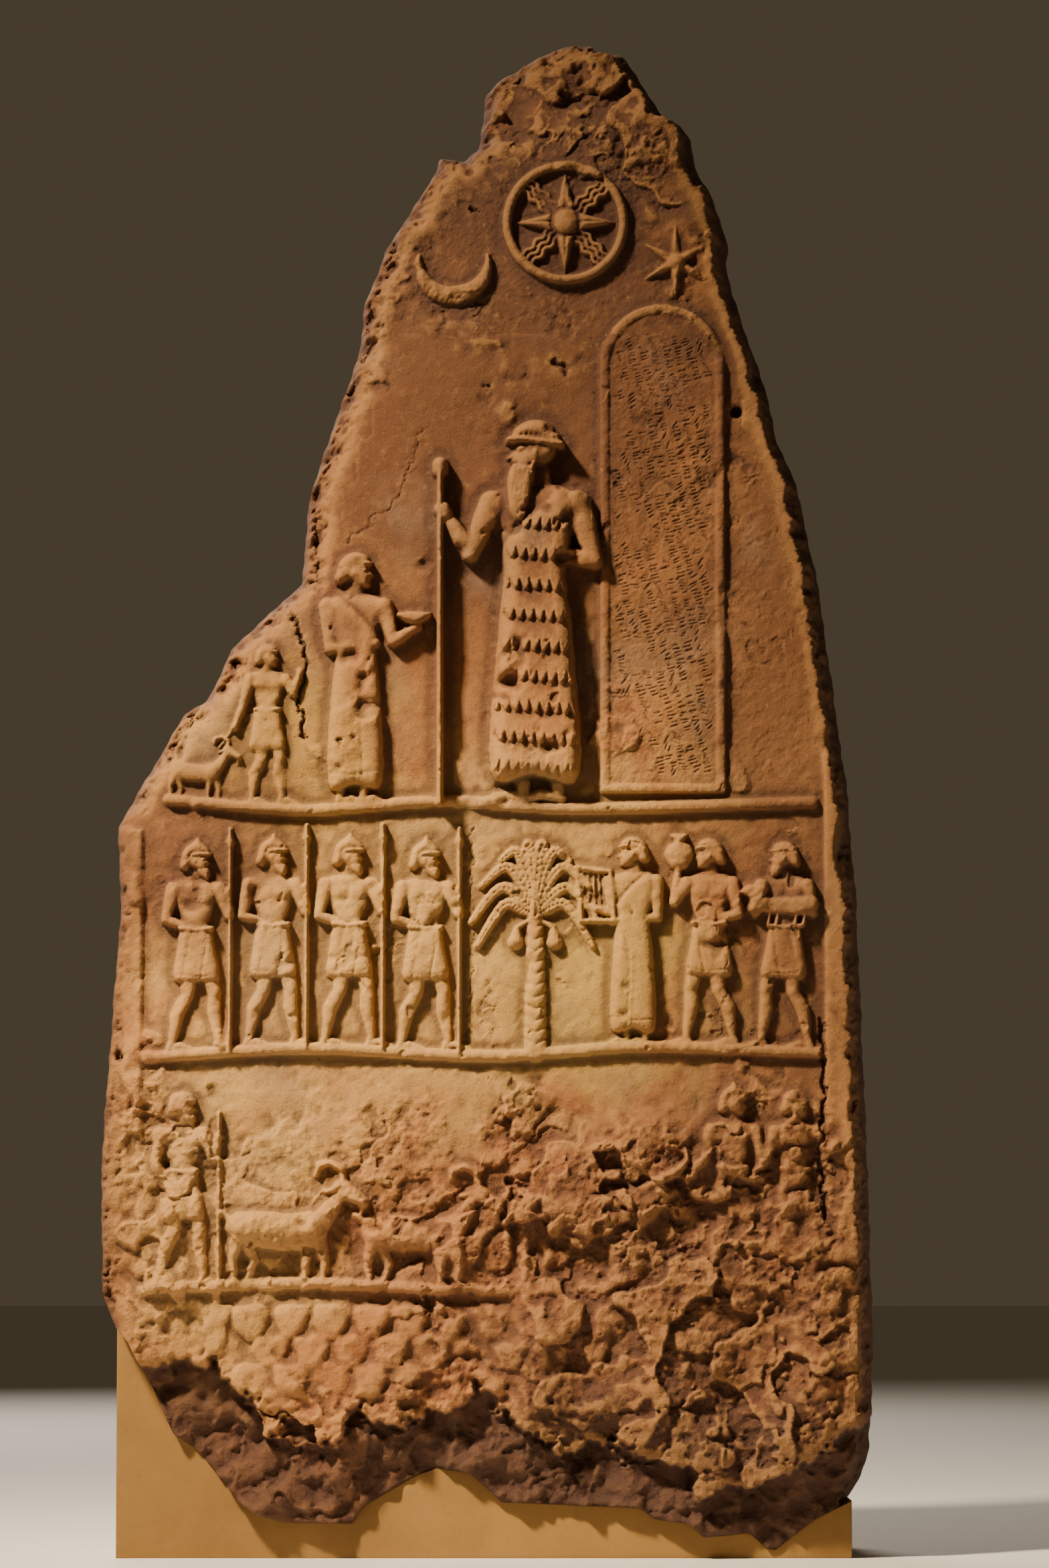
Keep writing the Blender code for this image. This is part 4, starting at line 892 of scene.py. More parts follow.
def makePiece(name, points, triangles):
    used, triangles = np.unique(triangles, return_inverse=True)
    triangles, points = triangles.reshape(-1, 3), points[used]
    mesh = bpy.data.meshes.new(name)
    mesh.vertices.add(len(points))
    mesh.vertices.foreach_set("co", points.astype(np.float32).ravel())
    mesh.loops.add(triangles.size)
    mesh.loops.foreach_set("vertex_index", triangles.astype(np.int32).ravel())
    mesh.polygons.add(len(triangles))
    mesh.polygons.foreach_set("loop_start", np.arange(0, triangles.size, 3, dtype=np.int32))
    mesh.update(calc_edges=True)
    x, z = points[:, 0] / unit, (points[:, 2] - footZ) / unit
    hidden = points[:, 1] > sampled(surface, x, z) + stone["skin"]
    for key, field, otherwise in (("worn", worn, 0.85), ("cavityShadeAndHighlight", cavityShadeAndHighlight, 0), ("lowBand", breakMask, None),
                                  ("nearEdge", nearEdge, 0.7)):
        values = sampled(field, x, z)
        if otherwise is not None:
            values = np.where(hidden, otherwise, values)
        layer = mesh.attributes.new(key, "FLOAT", "POINT")
        layer.data.foreach_set("value", values.astype(np.float32))
    mesh.shade_smooth()
    piece = bpy.data.objects.new(name, mesh)
    bpy.context.scene.collection.objects.link(piece)
    return piece


def between(spots, lines, facing):
    # triangles between closed lines, turned so that they face the front (1) or the back (-1)
    found = delaunay_2d_cdt([tuple(p) for p in spots], lines, [], 2, 1e-7)
    home = np.array([origin[0] if origin else -1 for origin in found[3]])
    made = home[np.array(found[2], int)]
    made = made[(made >= 0).all(axis=1)]
    a, b, c = spots[made[:, 0]], spots[made[:, 1]], spots[made[:, 2]]
    turn = (b[:, 0] - a[:, 0]) * (c[:, 1] - a[:, 1]) - (b[:, 1] - a[:, 1]) * (c[:, 0] - a[:, 0])
    made[turn * facing < 0] = made[turn * facing < 0][:, ::-1]
    return made


# The carvings are finer pieces laid over the body, each in its own stretch of the face,
# named by its left, right, lower and upper ends.
carvings = {
    "skySigns": (-9, 17, 80, 94), "leaderGroup": (-22, 7, 48, 80), "inscribedPanel": (7, 22, 48, 80),
    "spearmenRow": (-24, -1, 32, 48), "bearersRow": (-1, 24, 32, 48), "herdRow": (-24, 0, 16, 32),
    "bullGroup": (0, 24, 16, 32), "roughFoot": (-24, 24, 2, 16),
}
seam = {
    "keepIn": 1.5, "offSeat": 0.8, "margin": 0.6, "reach": 1.92,  # in hundredths
    "proud": 0.0001, "dip": 0.0004, "sink": 0.0018, "skirt": 0.012,  # in metres
}
outline = [*leftSide, *rightSide, *seatLine[1:-1]]
toOutline, inStone = lineDistance(gridX, gridZ, outline, closed=True)


def carvingRegion(bounds):
    # whole root cells inside the stretch that lie well inside the stone
    root = raster["rootCells"]
    lowX, highX, lowZ, highZ = bounds
    fits = (gridX > lowX - 1e-6) & (gridX < highX + 1e-6) & (gridZ > lowZ - 1e-6) & (gridZ < highZ + 1e-6)
    fits &= inStone & (inner > seam["keepIn"]) & (toOutline > seam["offSeat"])
    corners = fits[::root, ::root]
    blocks = corners[:-1, :-1] & corners[1:, :-1] & corners[:-1, 1:] & corners[1:, 1:]
    return blocks.repeat(root, 0).repeat(root, 1)


def insideMargin(region):
    # how far inside the region's edge each raster point is, up to the seam's reach, in hundredths
    points = np.zeros(gridX.shape, bool)
    points[:-1, :-1] |= region
    points[1:, :-1] |= region
    points[:-1, 1:] |= region
    points[1:, 1:] |= region
    depth = np.zeros(gridX.shape)
    current = points
    for _ in range(int(seam["reach"] / step)):
        shrunk = current.copy()
        for axis in (0, 1):
            shrunk &= np.roll(current, 1, axis) & np.roll(current, -1, axis)
        depth += shrunk
        current = shrunk
    return depth * step


def within(outline):
    return lineDistance(gridX, gridZ, outline, closed=True)[1]


def makeCarving(name, region, depth):
    field = surface - seam["proud"] + seam["dip"] * (1 - smoothStep(depth / seam["margin"]))
    written = name == "inscribedPanel"
    care = np.where(within(panelArch(-0.6)), 1e6, 1.0) if written else None  # finest under the strokes
    most = stone["writtenTriangles"] if written else stone["carvingTriangles"]
    triangles, tolerance = fittedTriangles(field, region, 1, raster["rootCells"] // 2, most, True, care)
    used, triangles = np.unique(triangles, return_inverse=True)
    triangles = triangles.reshape(-1, 3)
    x, z = gridX.flat[used], gridZ.flat[used]
    top = np.column_stack([x * unit, field.flat[used], footZ + z * unit])
    edges = openEdges(triangles)
    rim = np.unique(edges)
    deep = top[rim].copy()
    deep[:, 1] = top[:, 1].max() + seam["skirt"]
    below = np.full(len(top), -1)
    below[rim] = len(top) + np.arange(len(rim))
    a, b = edges[:, 0], edges[:, 1]
    skirt = np.concatenate([np.column_stack([b, a, below[a]]), np.column_stack([b, below[a], below[b]])])
    order = np.full(len(top), -1)
    order[rim] = np.arange(len(rim))
    base = between(deep[:, [0, 2]], [(int(order[s]), int(order[e])) for s, e in edges], -1)
    piece = makePiece(name, np.vstack([top, deep]), np.concatenate([triangles, skirt, base + len(top)]))
    print(name, len(piece.data.polygons), "triangles, within", round(tolerance * 1000, 2), "mm")
    return piece


brokenEdge = {
    "step": 0.22, "quickStep": 0.40, "wobble": 0.05,
    "rings": 11, "ringStep": 1.2, "depth": 0.26, "ragged": 0.17,  # rings of points down the broken sides
}


def edgeLoop():
    # the outline as evenly spaced points, a little ragged along the broken sides
    sides = np.array(outline, float)
    closed = np.vstack([sides, sides[:1]])
    lengths = np.hypot(*np.diff(closed, axis=0).T)
    reach = np.concatenate([[0], np.cumsum(lengths)])
    count = int(reach[-1] / brokenEdge["step"])
    along = np.linspace(0, reach[-1], count, endpoint=False)
    x, z = np.interp(along, reach, closed[:, 0]), np.interp(along, reach, closed[:, 1])
    sideLength = reach[len(leftSide) + len(rightSide) - 1]
    onSide = along < sideLength
    for _ in range(2):
        x = np.where(onSide, (np.roll(x, 1) + 2 * x + np.roll(x, -1)) / 4, x)
        z = np.where(onSide, (np.roll(z, 1) + 2 * z + np.roll(z, -1)) / 4, z)
    tangentX, tangentZ = np.roll(x, -1) - np.roll(x, 1), np.roll(z, -1) - np.roll(z, 1)
    size = np.hypot(tangentX, tangentZ)
    outward = np.column_stack([-tangentZ, tangentX]) / size[:, None]
    wobble = brokenEdge["wobble"] * sum(np.sin(along * k + k * k) for k in (0.9, 1.7, 3.1, 5.3)) / 2
    ease = smoothStep(along / 2) * smoothStep((sideLength - along) / 2)
    x, z = x + outward[:, 0] * wobble * ease, z + outward[:, 1] * wobble * ease
    return np.column_stack([x, z]), outward, onSide


def innerCells(smallest):
    # the cells of one size that lie wholly inside the outline, clear of it
    every = slice(None, None, smallest)
    fits = (inStone & (toOutline > 0.4 * smallest * step + 0.17))[every, every]
    cells = fits[:-1, :-1] & fits[1:, :-1] & fits[:-1, 1:] & fits[1:, 1:]
    return cells.repeat(smallest, 0).repeat(smallest, 1)


def stitched(loop, triangles, region):
    # triangles that join a face's cells to the outline; the outline's points count on from the raster's
    edges = openEdges(triangles)
    rim = np.unique(edges)
    spots = np.vstack([loop, np.column_stack([gridX.flat[rim], gridZ.flat[rim]])])
    place = np.full(gridX.size, -1)
    place[rim] = len(loop) + np.arange(len(rim))
    lines = [(k, (k + 1) % len(loop)) for k in range(len(loop))]
    lines += [(int(place[a]), int(place[b])) for a, b in edges]
    made = between(spots, lines, 1)
    middle = spots[made].mean(axis=1)
    cells = ((middle - [xs[0], zs[0]]) / step).astype(int)
    filled = region[cells[:, 1], cells[:, 0]]
    return np.concatenate([gridX.size + np.arange(len(loop)), rim])[made[~filled]]


def brokenWall(count):
    # how far the broken sides lie inside the outline: one row for each ring from the front to the back
    rings = brokenEdge["rings"]
    white = np.random.default_rng(61).standard_normal((2 * rings, count))
    across = np.fft.fftfreq(2 * rings, brokenEdge["ringStep"])
    along = np.fft.rfftfreq(count, brokenEdge["step"])
    pitch = np.hypot(across[:, None], along[None, :])
    gain = np.where((pitch > 1 / 14) & (pitch < 1 / 0.7), np.maximum(pitch, 1e-6) ** -1.5, 0)
    made = np.fft.irfft2(np.fft.rfft2(white) * gain, s=white.shape)
    return np.clip(brokenEdge["depth"] + brokenEdge["ragged"] * made[:rings] / made.std(), 0, 0.8)


def makeBody(covered):
    loop, outward, onSide = edgeLoop()
    smallest = 2
    region = innerCells(smallest)
    beneath = -lowest(-surface, int(0.40 / step)) + seam["sink"]
    field = surface + (beneath - surface) * smoothStep((covered - 0.6 * seam["margin"]) / seam["margin"])
    care = 1 - 0.85 * smoothStep((covered - 1.8 * seam["margin"]) / seam["margin"])
    front, tolerance = fittedTriangles(field, region, smallest, raster["rootCells"],
                                       stone["bodyTriangles"], False, care)
    frontStrip = stitched(loop, front, region)
    print("fitted the front")
    backSmallest = raster["rootCells"] // 4
    backRegion = innerCells(backSmallest)
    backField = -faceY - unit * backRecess()
    back, _ = fittedTriangles(backField, backRegion, backSmallest, raster["rootCells"],
                              stone["backTriangles"], False)
    backStrip = stitched(loop, back, backRegion)
    print("fitted the back")

    frontLoopY = sampled(field, loop[:, 0], loop[:, 1])
    backLoopY = sampled(backField, loop[:, 0], loop[:, 1])
    rings = [np.column_stack([loop[:, 0] * unit, frontLoopY, footZ + loop[:, 1] * unit])]
    for share, rough in zip(np.linspace(0.04, 0.96, brokenEdge["rings"]), brokenWall(len(loop))):
        inward = np.where(onSide, rough * min(1.0, 6 * share, 6 * (1 - share)), 0)[:, None]
        ring = loop - outward * inward
        y = frontLoopY * (1 - share) + backLoopY * share
        rings.append(np.column_stack([ring[:, 0] * unit, y, footZ + ring[:, 1] * unit]))
    backLoop = np.column_stack([loop[:, 0] * unit, backLoopY, footZ + loop[:, 1] * unit])

    flatX, flatZ = gridX.ravel() * unit, footZ + gridZ.ravel() * unit
    points = np.vstack([np.column_stack([flatX, field.ravel(), flatZ]), *rings,
                        np.column_stack([flatX, backField.ravel(), flatZ]), backLoop])
    backStart = gridX.size + len(loop) * len(rings)
    starts = [gridX.size + len(loop) * k for k in range(len(rings))] + [backStart + gridX.size]
    here = np.arange(len(loop))
    following = (here + 1) % len(loop)
    walls = []
    for near, far in zip(starts, starts[1:]):
        walls.append(np.column_stack([near + here, near + following, far + following]))
        walls.append(np.column_stack([near + here, far + following, far + here]))
    backs = np.concatenate([back, backStrip])[:, ::-1] + backStart
    piece = makePiece("stoneBody", points, np.concatenate([front, frontStrip, *walls, backs]))
    print("stoneBody", len(piece.data.polygons), "triangles, within", round(tolerance * 1000, 2), "mm")
    return piece


def backRecess():
    # how far the roughly dressed back lies inside its own plane
    fromEdge = 1 - np.clip(inner / stone["backWidth"], 0, 1)
    swell = stone["backSwell"] * (1 + 0.4 * fractalNoise(31, 20, 4))
    swell = swell + stone["backGrain"] * fractalNoise(32, 4, 0.5)
    dressing = stone["backDressing"] * (1.3 + blurred(chips(71, 3.0, tilt=0.6), 0.12))
    return stone["backDrop"] * fromEdge ** 2 + swell + dressing


block = {"clearance": 0.0006, "round": 0.0015, "cornerDrop": 0.004}  # in metres


def makeBlock():
    # the seat's line, from the right, over a rectangle
    left, right = blockLow[0] + block["round"], blockHigh[0] - block["round"]
    seat = np.array(seatLine) * unit + [0, footZ - block["clearance"] - block["round"]]
    seat = [p for p in seat if left < p[0] < right]
    rising = sorted((x * unit, footZ + z * unit) for x, z in seatLine)
    cornerZ = [np.interp(end, *zip(*rising)) - block["cornerDrop"] for end in (right, left)]
    outline = [(left, block["round"]), (right, block["round"]), (right, cornerZ[0]),
               *seat, (left, cornerZ[1])]
    curve = bpy.data.curves.new("supportBlock", "CURVE")
    curve.dimensions, curve.fill_mode = "2D", "BOTH"
    curve.extrude = (blockHigh[1] - blockLow[1]) / 2 - block["round"]
    curve.bevel_depth, curve.bevel_resolution = block["round"], 2
    spline = curve.splines.new("POLY")
    spline.points.add(len(outline) - 1)
    for point, (x, z) in zip(spline.points, outline):
        point.co = (x, z, 0, 1)
    spline.use_cyclic_u = True
    guide = bpy.data.objects.new("supportBlockGuide", curve)
    guide.rotation_euler.x = math.radians(90)
    guide.location.y = (blockLow[1] + blockHigh[1]) / 2
    bpy.context.scene.collection.objects.link(guide)
    bpy.context.view_layer.update()
    graph = bpy.context.evaluated_depsgraph_get()
    mesh = bpy.data.meshes.new_from_object(guide.evaluated_get(graph))
    mesh.transform(guide.matrix_world)
    bpy.data.objects.remove(guide)
    shape = bmesh.new()
    shape.from_mesh(mesh)
    bmesh.ops.remove_doubles(shape, verts=shape.verts, dist=1e-5)
    bmesh.ops.recalc_face_normals(shape, faces=shape.faces)
    shape.to_mesh(mesh)
    shape.free()
    mesh.name = "supportBlock"
    mesh.shade_smooth()
    mesh.set_sharp_from_angle(angle=math.radians(40))
    piece = bpy.data.objects.new("supportBlock", mesh)
    bpy.context.scene.collection.objects.link(piece)
    print("made the support block")
    return piece


class Nodes:  # adds nodes to a tree and joins them
    def give(self, socket, value):
        if isinstance(value, bpy.types.NodeSocket):
            self.tree.links.new(value, socket)
        else:
            socket.default_value = value

    def add(self, kind, values=None, **settings):
        node = self.tree.nodes.new(kind)
        for key, value in settings.items():
            setattr(node, key, value)
        for key, value in (values or {}).items():
            self.give(node.inputs[key], value)
        return node

    def maths(self, operation, first, second=0.0):
        return self.add("ShaderNodeMath", {0: first, 1: second}, operation=operation).outputs[0]


class Shading(Nodes):  # the nodes of a material
    def __init__(self, name):
        self.material = bpy.data.materials.new(name)
        self.material.use_nodes = True
        self.tree = self.material.node_tree
        self.shader = self.tree.nodes["Principled BSDF"]

    def mix(self, share, first, second):
        return self.add("ShaderNodeMix", {0: share, 6: first, 7: second}, data_type="RGBA").outputs[2]

    def noise(self, place, scale, detail, roughness, distortion=0.0):
        values = {"Vector": place, "Scale": scale, "Detail": detail, "Roughness": roughness,
                  "Distortion": distortion}
        return self.add("ShaderNodeTexNoise", values).outputs["Fac"]

    def remap(self, value, low, high, toLow=0.0, toHigh=1.0):
        return self.add("ShaderNodeMapRange", {"Value": value, "From Min": low, "From Max": high,
                                               "To Min": toLow, "To Max": toHigh}).outputs["Result"]

    def patch(self, place, centre, radii, wander):
        # 1 in the middle of an oval patch, falling to 0 outside it, with a wandering edge
        shifted = self.add("ShaderNodeVectorMath", {0: place, 1: centre}, operation="SUBTRACT").outputs[0]
        scaled = self.add("ShaderNodeVectorMath", {0: shifted, 1: [1 / r for r in radii]},
                          operation="MULTIPLY").outputs[0]
        length = self.add("ShaderNodeVectorMath", {0: scaled}, operation="LENGTH").outputs["Value"]
        return self.remap(self.maths("ADD", length, wander), 1.25, 0.55)

    def finish(self, colour, look, height):
        for key, value in (("Base Color", colour), ("Roughness", look["roughness"])):
            self.give(self.shader.inputs[key], value)
        bump = self.add("ShaderNodeBump", {"Strength": look["bump"], "Distance": look["bumpHeight"],
                                           "Height": height})
        self.give(self.shader.inputs["Normal"], bump.outputs[0])
        return self.material


stoneLook = {
    "pale": (0.42, 0.212, 0.070, 1), "base": (0.335, 0.140, 0.041, 1), "red": (0.230, 0.074, 0.025, 1),
    "dark": (0.052, 0.020, 0.011, 1), "ochre": (0.44, 0.285, 0.060, 1), "grey": (0.215, 0.152, 0.100, 1),
    "straw": (0.53, 0.335, 0.105, 1), "brown": (0.125, 0.047, 0.018, 1),
    "roughness": 0.9, "bump": 0.8, "bumpHeight": 0.0028,
    # the crown patch is painted shade over the top of the stone, where the light falls off
    "crownShade": ((0.06, -0.10, 1.97), (0.5, 1, 0.36), 0.75),
    # brown and dark patches: painted shade where the light falls off; straw patches: yellow tone, with a
    # painted pool of light in the middle
    # each patch's colour, its middle across and up, half its width and height, and its strength
    "toneAndShadePatches": (("brown", (-0.02, 1.60), (0.50, 0.50), 0.95), ("brown", (-0.30, 1.22), (0.14, 0.26), 0.50),
                ("brown", (0.42, 1.10), (0.16, 0.70), 0.75), ("brown", (0.26, 0.26), (0.38, 0.42), 0.85),
                ("straw", (-0.10, 0.74), (0.36, 0.18), 0.62), ("ochre", (-0.26, 1.02), (0.20, 0.14), 0.45),
                ("straw", (0.05, 0.92), (0.24, 0.16), 0.50), ("ochre", (0.14, 0.74), (0.12, 0.14), 0.55),
                ("straw", (-0.36, 0.44), (0.18, 0.22), 0.50), ("dark", (0.24, 0.08), (0.38, 0.16), 0.80),
                ("brown", (-0.40, 0.92), (0.14, 0.12), 0.85)),
}


def sandstoneMaterial():
    n = Shading("sandstone")
    place = n.add("ShaderNodeTexCoord").outputs["Object"]
    wornShare = n.add("ShaderNodeAttribute", attribute_name="worn").outputs["Fac"]
    shadeAndHighlightShare = n.add("ShaderNodeAttribute", attribute_name="cavityShadeAndHighlight").outputs["Fac"]
    band = n.add("ShaderNodeAttribute", attribute_name="lowBand").outputs["Fac"]
    edge = n.add("ShaderNodeAttribute", attribute_name="nearEdge").outputs["Fac"]
    broad = n.noise(place, 2.4, 5, 0.6, 0.4)
    cloudy = n.noise(place, 9.0, 6, 0.62, 0.3)
    speckle = n.noise(place, 95.0, 6, 0.72)
    colour = n.mix(n.remap(broad, 0.38, 0.64), stoneLook["base"], stoneLook["pale"])
    colour = n.mix(n.remap(cloudy, 0.48, 0.70, 0, 0.70), colour, stoneLook["red"])
    mottle = n.noise(place, 34.0, 8, 0.72, 0.2)
    colour = n.mix(n.remap(mottle, 0.52, 0.72, 0, 0.55), colour, stoneLook["red"])
    colour = n.mix(n.remap(mottle, 0.48, 0.30, 0, 0.45), colour, stoneLook["pale"])
    redder = n.maths("MULTIPLY", n.remap(wornShare, 0.25, 1.0, 0, 0.75),
                     n.remap(cloudy, 0.30, 0.60, 0.45, 1.0))
    colour = n.mix(redder, colour, stoneLook["red"])
    wander = n.remap(cloudy, 0.3, 0.7, -0.35, 0.35)
    # tone patches, with painted shade where the light falls off and a painted pool of light in the middle
    for name, (x, z), (wide, tall), share in stoneLook["toneAndShadePatches"]:
        patch = n.maths("MULTIPLY", n.patch(place, (x, -0.14, z), (wide, 1, tall), wander), share)
        colour = n.mix(patch, colour, stoneLook[name])
    greyer = n.maths("MULTIPLY", n.remap(n.noise(place, 5.0, 5, 0.6), 0.55, 0.72, 0, 0.5),
                     n.remap(wornShare, 0.9, 0.2))
    colour = n.mix(greyer, colour, stoneLook["grey"])
    # painted shade over the top of the stone, where the light falls off
    middle, radii, strength = stoneLook["crownShade"]
    crownShade = n.maths("MULTIPLY", n.patch(place, middle, radii, wander), strength)
    crownShade = n.maths("MULTIPLY", crownShade, n.remap(mottle, 0.3, 0.6, 0.5, 1.0))
    colour = n.mix(crownShade, colour, stoneLook["dark"])
    # painted shade along the broken edges, beyond the pool of light
    shaded = n.maths("MULTIPLY", edge, n.remap(cloudy, 0.30, 0.65, 0.45, 0.85))
    colour = n.mix(shaded, colour, stoneLook["brown"])
    # darker below the break: partly the less weathered rock's own colour, partly painted shade in the
    # recessed band
    darkAndShaded = n.maths("MULTIPLY", band, n.remap(cloudy, 0.25, 0.65, 1.0, 0.80))
    colour = n.mix(darkAndShaded, colour, stoneLook["dark"])
    # painted shade: darker in the hollows of the carving
    colour = n.mix(n.remap(shadeAndHighlightShare, 0.05, 0.9, 0, 0.62), colour, stoneLook["dark"])
    # the painted highlights and the pale flecks are kept off broken rock
    whole = n.remap(n.maths("MAXIMUM", band, edge), 0.1, 1.0, 1.0, 0.15)  # no pale spots on broken rock
    # painted highlights: paler on the high spots
    paintedHighlight = n.maths("MULTIPLY", n.remap(shadeAndHighlightShare, -0.10, -0.9, 0, 0.40), whole)
    colour = n.mix(paintedHighlight, colour, stoneLook["pale"])
    colour = n.mix(n.remap(speckle, 0.54, 0.68, 0, 0.42), colour, stoneLook["brown"])
    flecks = n.maths("MULTIPLY", n.remap(speckle, 0.44, 0.30, 0, 0.30), whole)
    colour = n.mix(flecks, colour, stoneLook["pale"])
    grain = n.noise(place, 330.0, 5, 0.7)
    pits = n.noise(place, 90.0, 4, 0.6)
    pitted = n.maths("MULTIPLY", pits, n.remap(wornShare, 0, 1, 0.6, 2.2))
    relief = n.maths("ADD", n.maths("MULTIPLY", grain, 0.5), pitted)
    return n.finish(colour, stoneLook, relief)


# the filler's colours are darker than its cream-tan plaster: painted shade where the light falls off at the
# foot
shadedBlockLook = {
    "base": (0.19, 0.096, 0.021, 1), "pale": (0.26, 0.140, 0.034, 1), "stain": (0.12, 0.054, 0.013, 1),
    "roughness": 0.8, "bump": 0.25, "bumpHeight": 0.001,
}


def fillerMaterial():
    n = Shading("castFiller")
    place = n.add("ShaderNodeTexCoord").outputs["Object"]
    cloud = n.noise(place, 4.0, 6, 0.62)
    fine = n.noise(place, 90.0, 5, 0.65)
    colour = n.mix(n.remap(cloud, 0.35, 0.65), shadedBlockLook["base"], shadedBlockLook["pale"])
    colour = n.mix(n.remap(fine, 0.55, 0.75, 0, 0.25), colour, shadedBlockLook["stain"])
    return n.finish(colour, shadedBlockLook, fine)


class Geometry(Nodes):  # a tree of geometry nodes
    def __init__(self, name, inputs):
        self.tree = bpy.data.node_groups.new(name, "GeometryNodeTree")
        self.tree.interface.new_socket("Geometry", in_out="INPUT", socket_type="NodeSocketGeometry")
        for key, kind in inputs.items():
            self.tree.interface.new_socket(key, in_out="INPUT", socket_type="NodeSocket" + kind)
        self.tree.interface.new_socket("Geometry", in_out="OUTPUT", socket_type="NodeSocketGeometry")
        self.given = self.tree.nodes.new("NodeGroupInput").outputs
        self.result = self.tree.nodes.new("NodeGroupOutput").inputs

    def random(self, low, high, which, seed):
        node = self.add("FunctionNodeRandomValue", data_type="FLOAT")
        for socket, value in zip([s for s in node.inputs if s.enabled], (low, high, which, seed)):
            self.give(socket, value)
        return [s for s in node.outputs if s.enabled][0]


def strokesTree():
    # short strokes in leaning columns over the panel, cut into the piece they are given
    sizes = ("Column Pitch", "Stroke Pitch", "Stroke Length", "Half Width", "Depth", "Lean")
    g = Geometry("shallowStrokes", {**dict.fromkeys(sizes, "Float"), "Seed": "Int", "Material": "Material"})
    given = g.given
    columns, strokes = panel["columns"], panel["strokes"]
    width = g.maths("MULTIPLY", given["Column Pitch"], columns - 1)
    height = g.maths("MULTIPLY", given["Stroke Pitch"], strokes - 1)
    grid = g.add("GeometryNodeMeshGrid", {"Size X": width, "Size Y": height, "Vertices X": columns,
                                          "Vertices Y": strokes}).outputs["Mesh"]
    middle = (panel["middle"] * unit, faceY, footZ + unit * (panel["foot"] + panel["spring"] + 3) / 2)
    turn = g.add("ShaderNodeCombineXYZ", {"X": math.pi / 2, "Y": given["Lean"], "Z": 0.0}).outputs[0]
    spread = g.add("GeometryNodeTransform",
                   {"Geometry": grid, "Translation": middle, "Rotation": turn}).outputs[0]
    place = g.add("GeometryNodeInputPosition").outputs[0]
    index = g.add("GeometryNodeInputIndex").outputs[0]
    parts = g.add("ShaderNodeSeparateXYZ", {0: place})
    aside = g.maths("ABSOLUTE", g.maths("SUBTRACT", parts.outputs["X"], middle[0]))
    springZ, footOfPanel = footZ + panel["spring"] * unit, footZ + (panel["foot"] + 0.9) * unit
    above = g.maths("MAXIMUM", g.maths("SUBTRACT", parts.outputs["Z"], springZ), 0.0)
    squares = g.maths("ADD", g.maths("MULTIPLY", aside, aside), g.maths("MULTIPLY", above, above))
    reach = g.maths("SQRT", squares)
    beyond = g.maths("GREATER_THAN", reach, (panel["halfWidth"] - 0.75) * unit)
    under = g.maths("LESS_THAN", parts.outputs["Z"], footOfPanel)
    wornAway = g.add("ShaderNodeTexNoise", {"Vector": place, "Scale": 14.0, "Detail": 2.0}).outputs[0]
    wornAway = g.maths("GREATER_THAN", wornAway, panel["sparse"])
    sign = g.maths("FLOOR", g.maths("DIVIDE", index, 4.0))
    gap = g.maths("LESS_THAN", g.random(0.0, 1.0, index, given["Seed"]), panel["gaps"])
    space = g.maths("LESS_THAN", g.random(0.0, 1.0, sign, 8), panel["spaces"])
    unwanted = beyond
    for reason in (under, wornAway, gap, space):
        unwanted = g.maths("ADD", unwanted, reason)
    unwanted = g.maths("GREATER_THAN", unwanted, 0.5)
    kept = g.add("GeometryNodeDeleteGeometry", {"Geometry": spread, "Selection": unwanted},
                 domain="POINT").outputs[0]
    line = g.add("GeometryNodeMeshLine", {"Count": 2}, mode="END_POINTS")
    half = g.maths("MULTIPLY", given["Stroke Length"], 0.5)
    start = g.add("ShaderNodeCombineXYZ", {"X": g.maths("MULTIPLY", half, -1.0)}).outputs[0]
    end = g.add("ShaderNodeCombineXYZ", {"X": half}).outputs[0]
    g.tree.links.new(start, line.inputs["Start Location"])
    g.tree.links.new(end, [s for s in line.inputs if s.enabled and s.name in ("Offset", "End Location")][0])
    tilt = g.maths("GREATER_THAN", g.random(0.0, 1.0, sign, 3), 0.52)
    tilt = g.maths("MULTIPLY", tilt, g.random(-1.1, 1.1, sign, 4))
    tilt = g.maths("ADD", g.maths("ADD", tilt, -0.22), g.random(-0.12, 0.12, index, 6))
    angle = g.add("ShaderNodeCombineXYZ", {"Y": tilt}).outputs[0]
    size = g.random(0.45, 1.25, index, 7)
    nudge = g.add("ShaderNodeCombineXYZ", {"X": g.random(-0.0026, 0.0026, index, 9),
                                           "Z": g.random(-0.0012, 0.0012, index, 10)}).outputs[0]
    moved = g.add("GeometryNodeSetPosition", {"Geometry": kept, "Offset": nudge}).outputs[0]
    strokesMade = g.add("GeometryNodeInstanceOnPoints", {"Points": moved, "Instance": line.outputs[0],
                                                         "Rotation": angle, "Scale": size}).outputs[0]
    strokesMade = g.add("GeometryNodeRealizeInstances", {"Geometry": strokesMade}).outputs[0]
    flatPlace = g.add("ShaderNodeCombineXYZ",
                      {"X": parts.outputs["X"], "Y": faceY, "Z": parts.outputs["Z"]}).outputs[0]
    near = g.add("GeometryNodeProximity", {0: strokesMade, "Source Position": flatPlace},
                 target_element="EDGES")
    share = g.maths("DIVIDE", near.outputs["Distance"], given["Half Width"])
    cut = g.maths("MAXIMUM", g.maths("SUBTRACT", 1.0, g.maths("MULTIPLY", share, share)), 0.0)
    shift = g.add("ShaderNodeCombineXYZ", {"Y": g.maths("MULTIPLY", cut, given["Depth"])}).outputs[0]
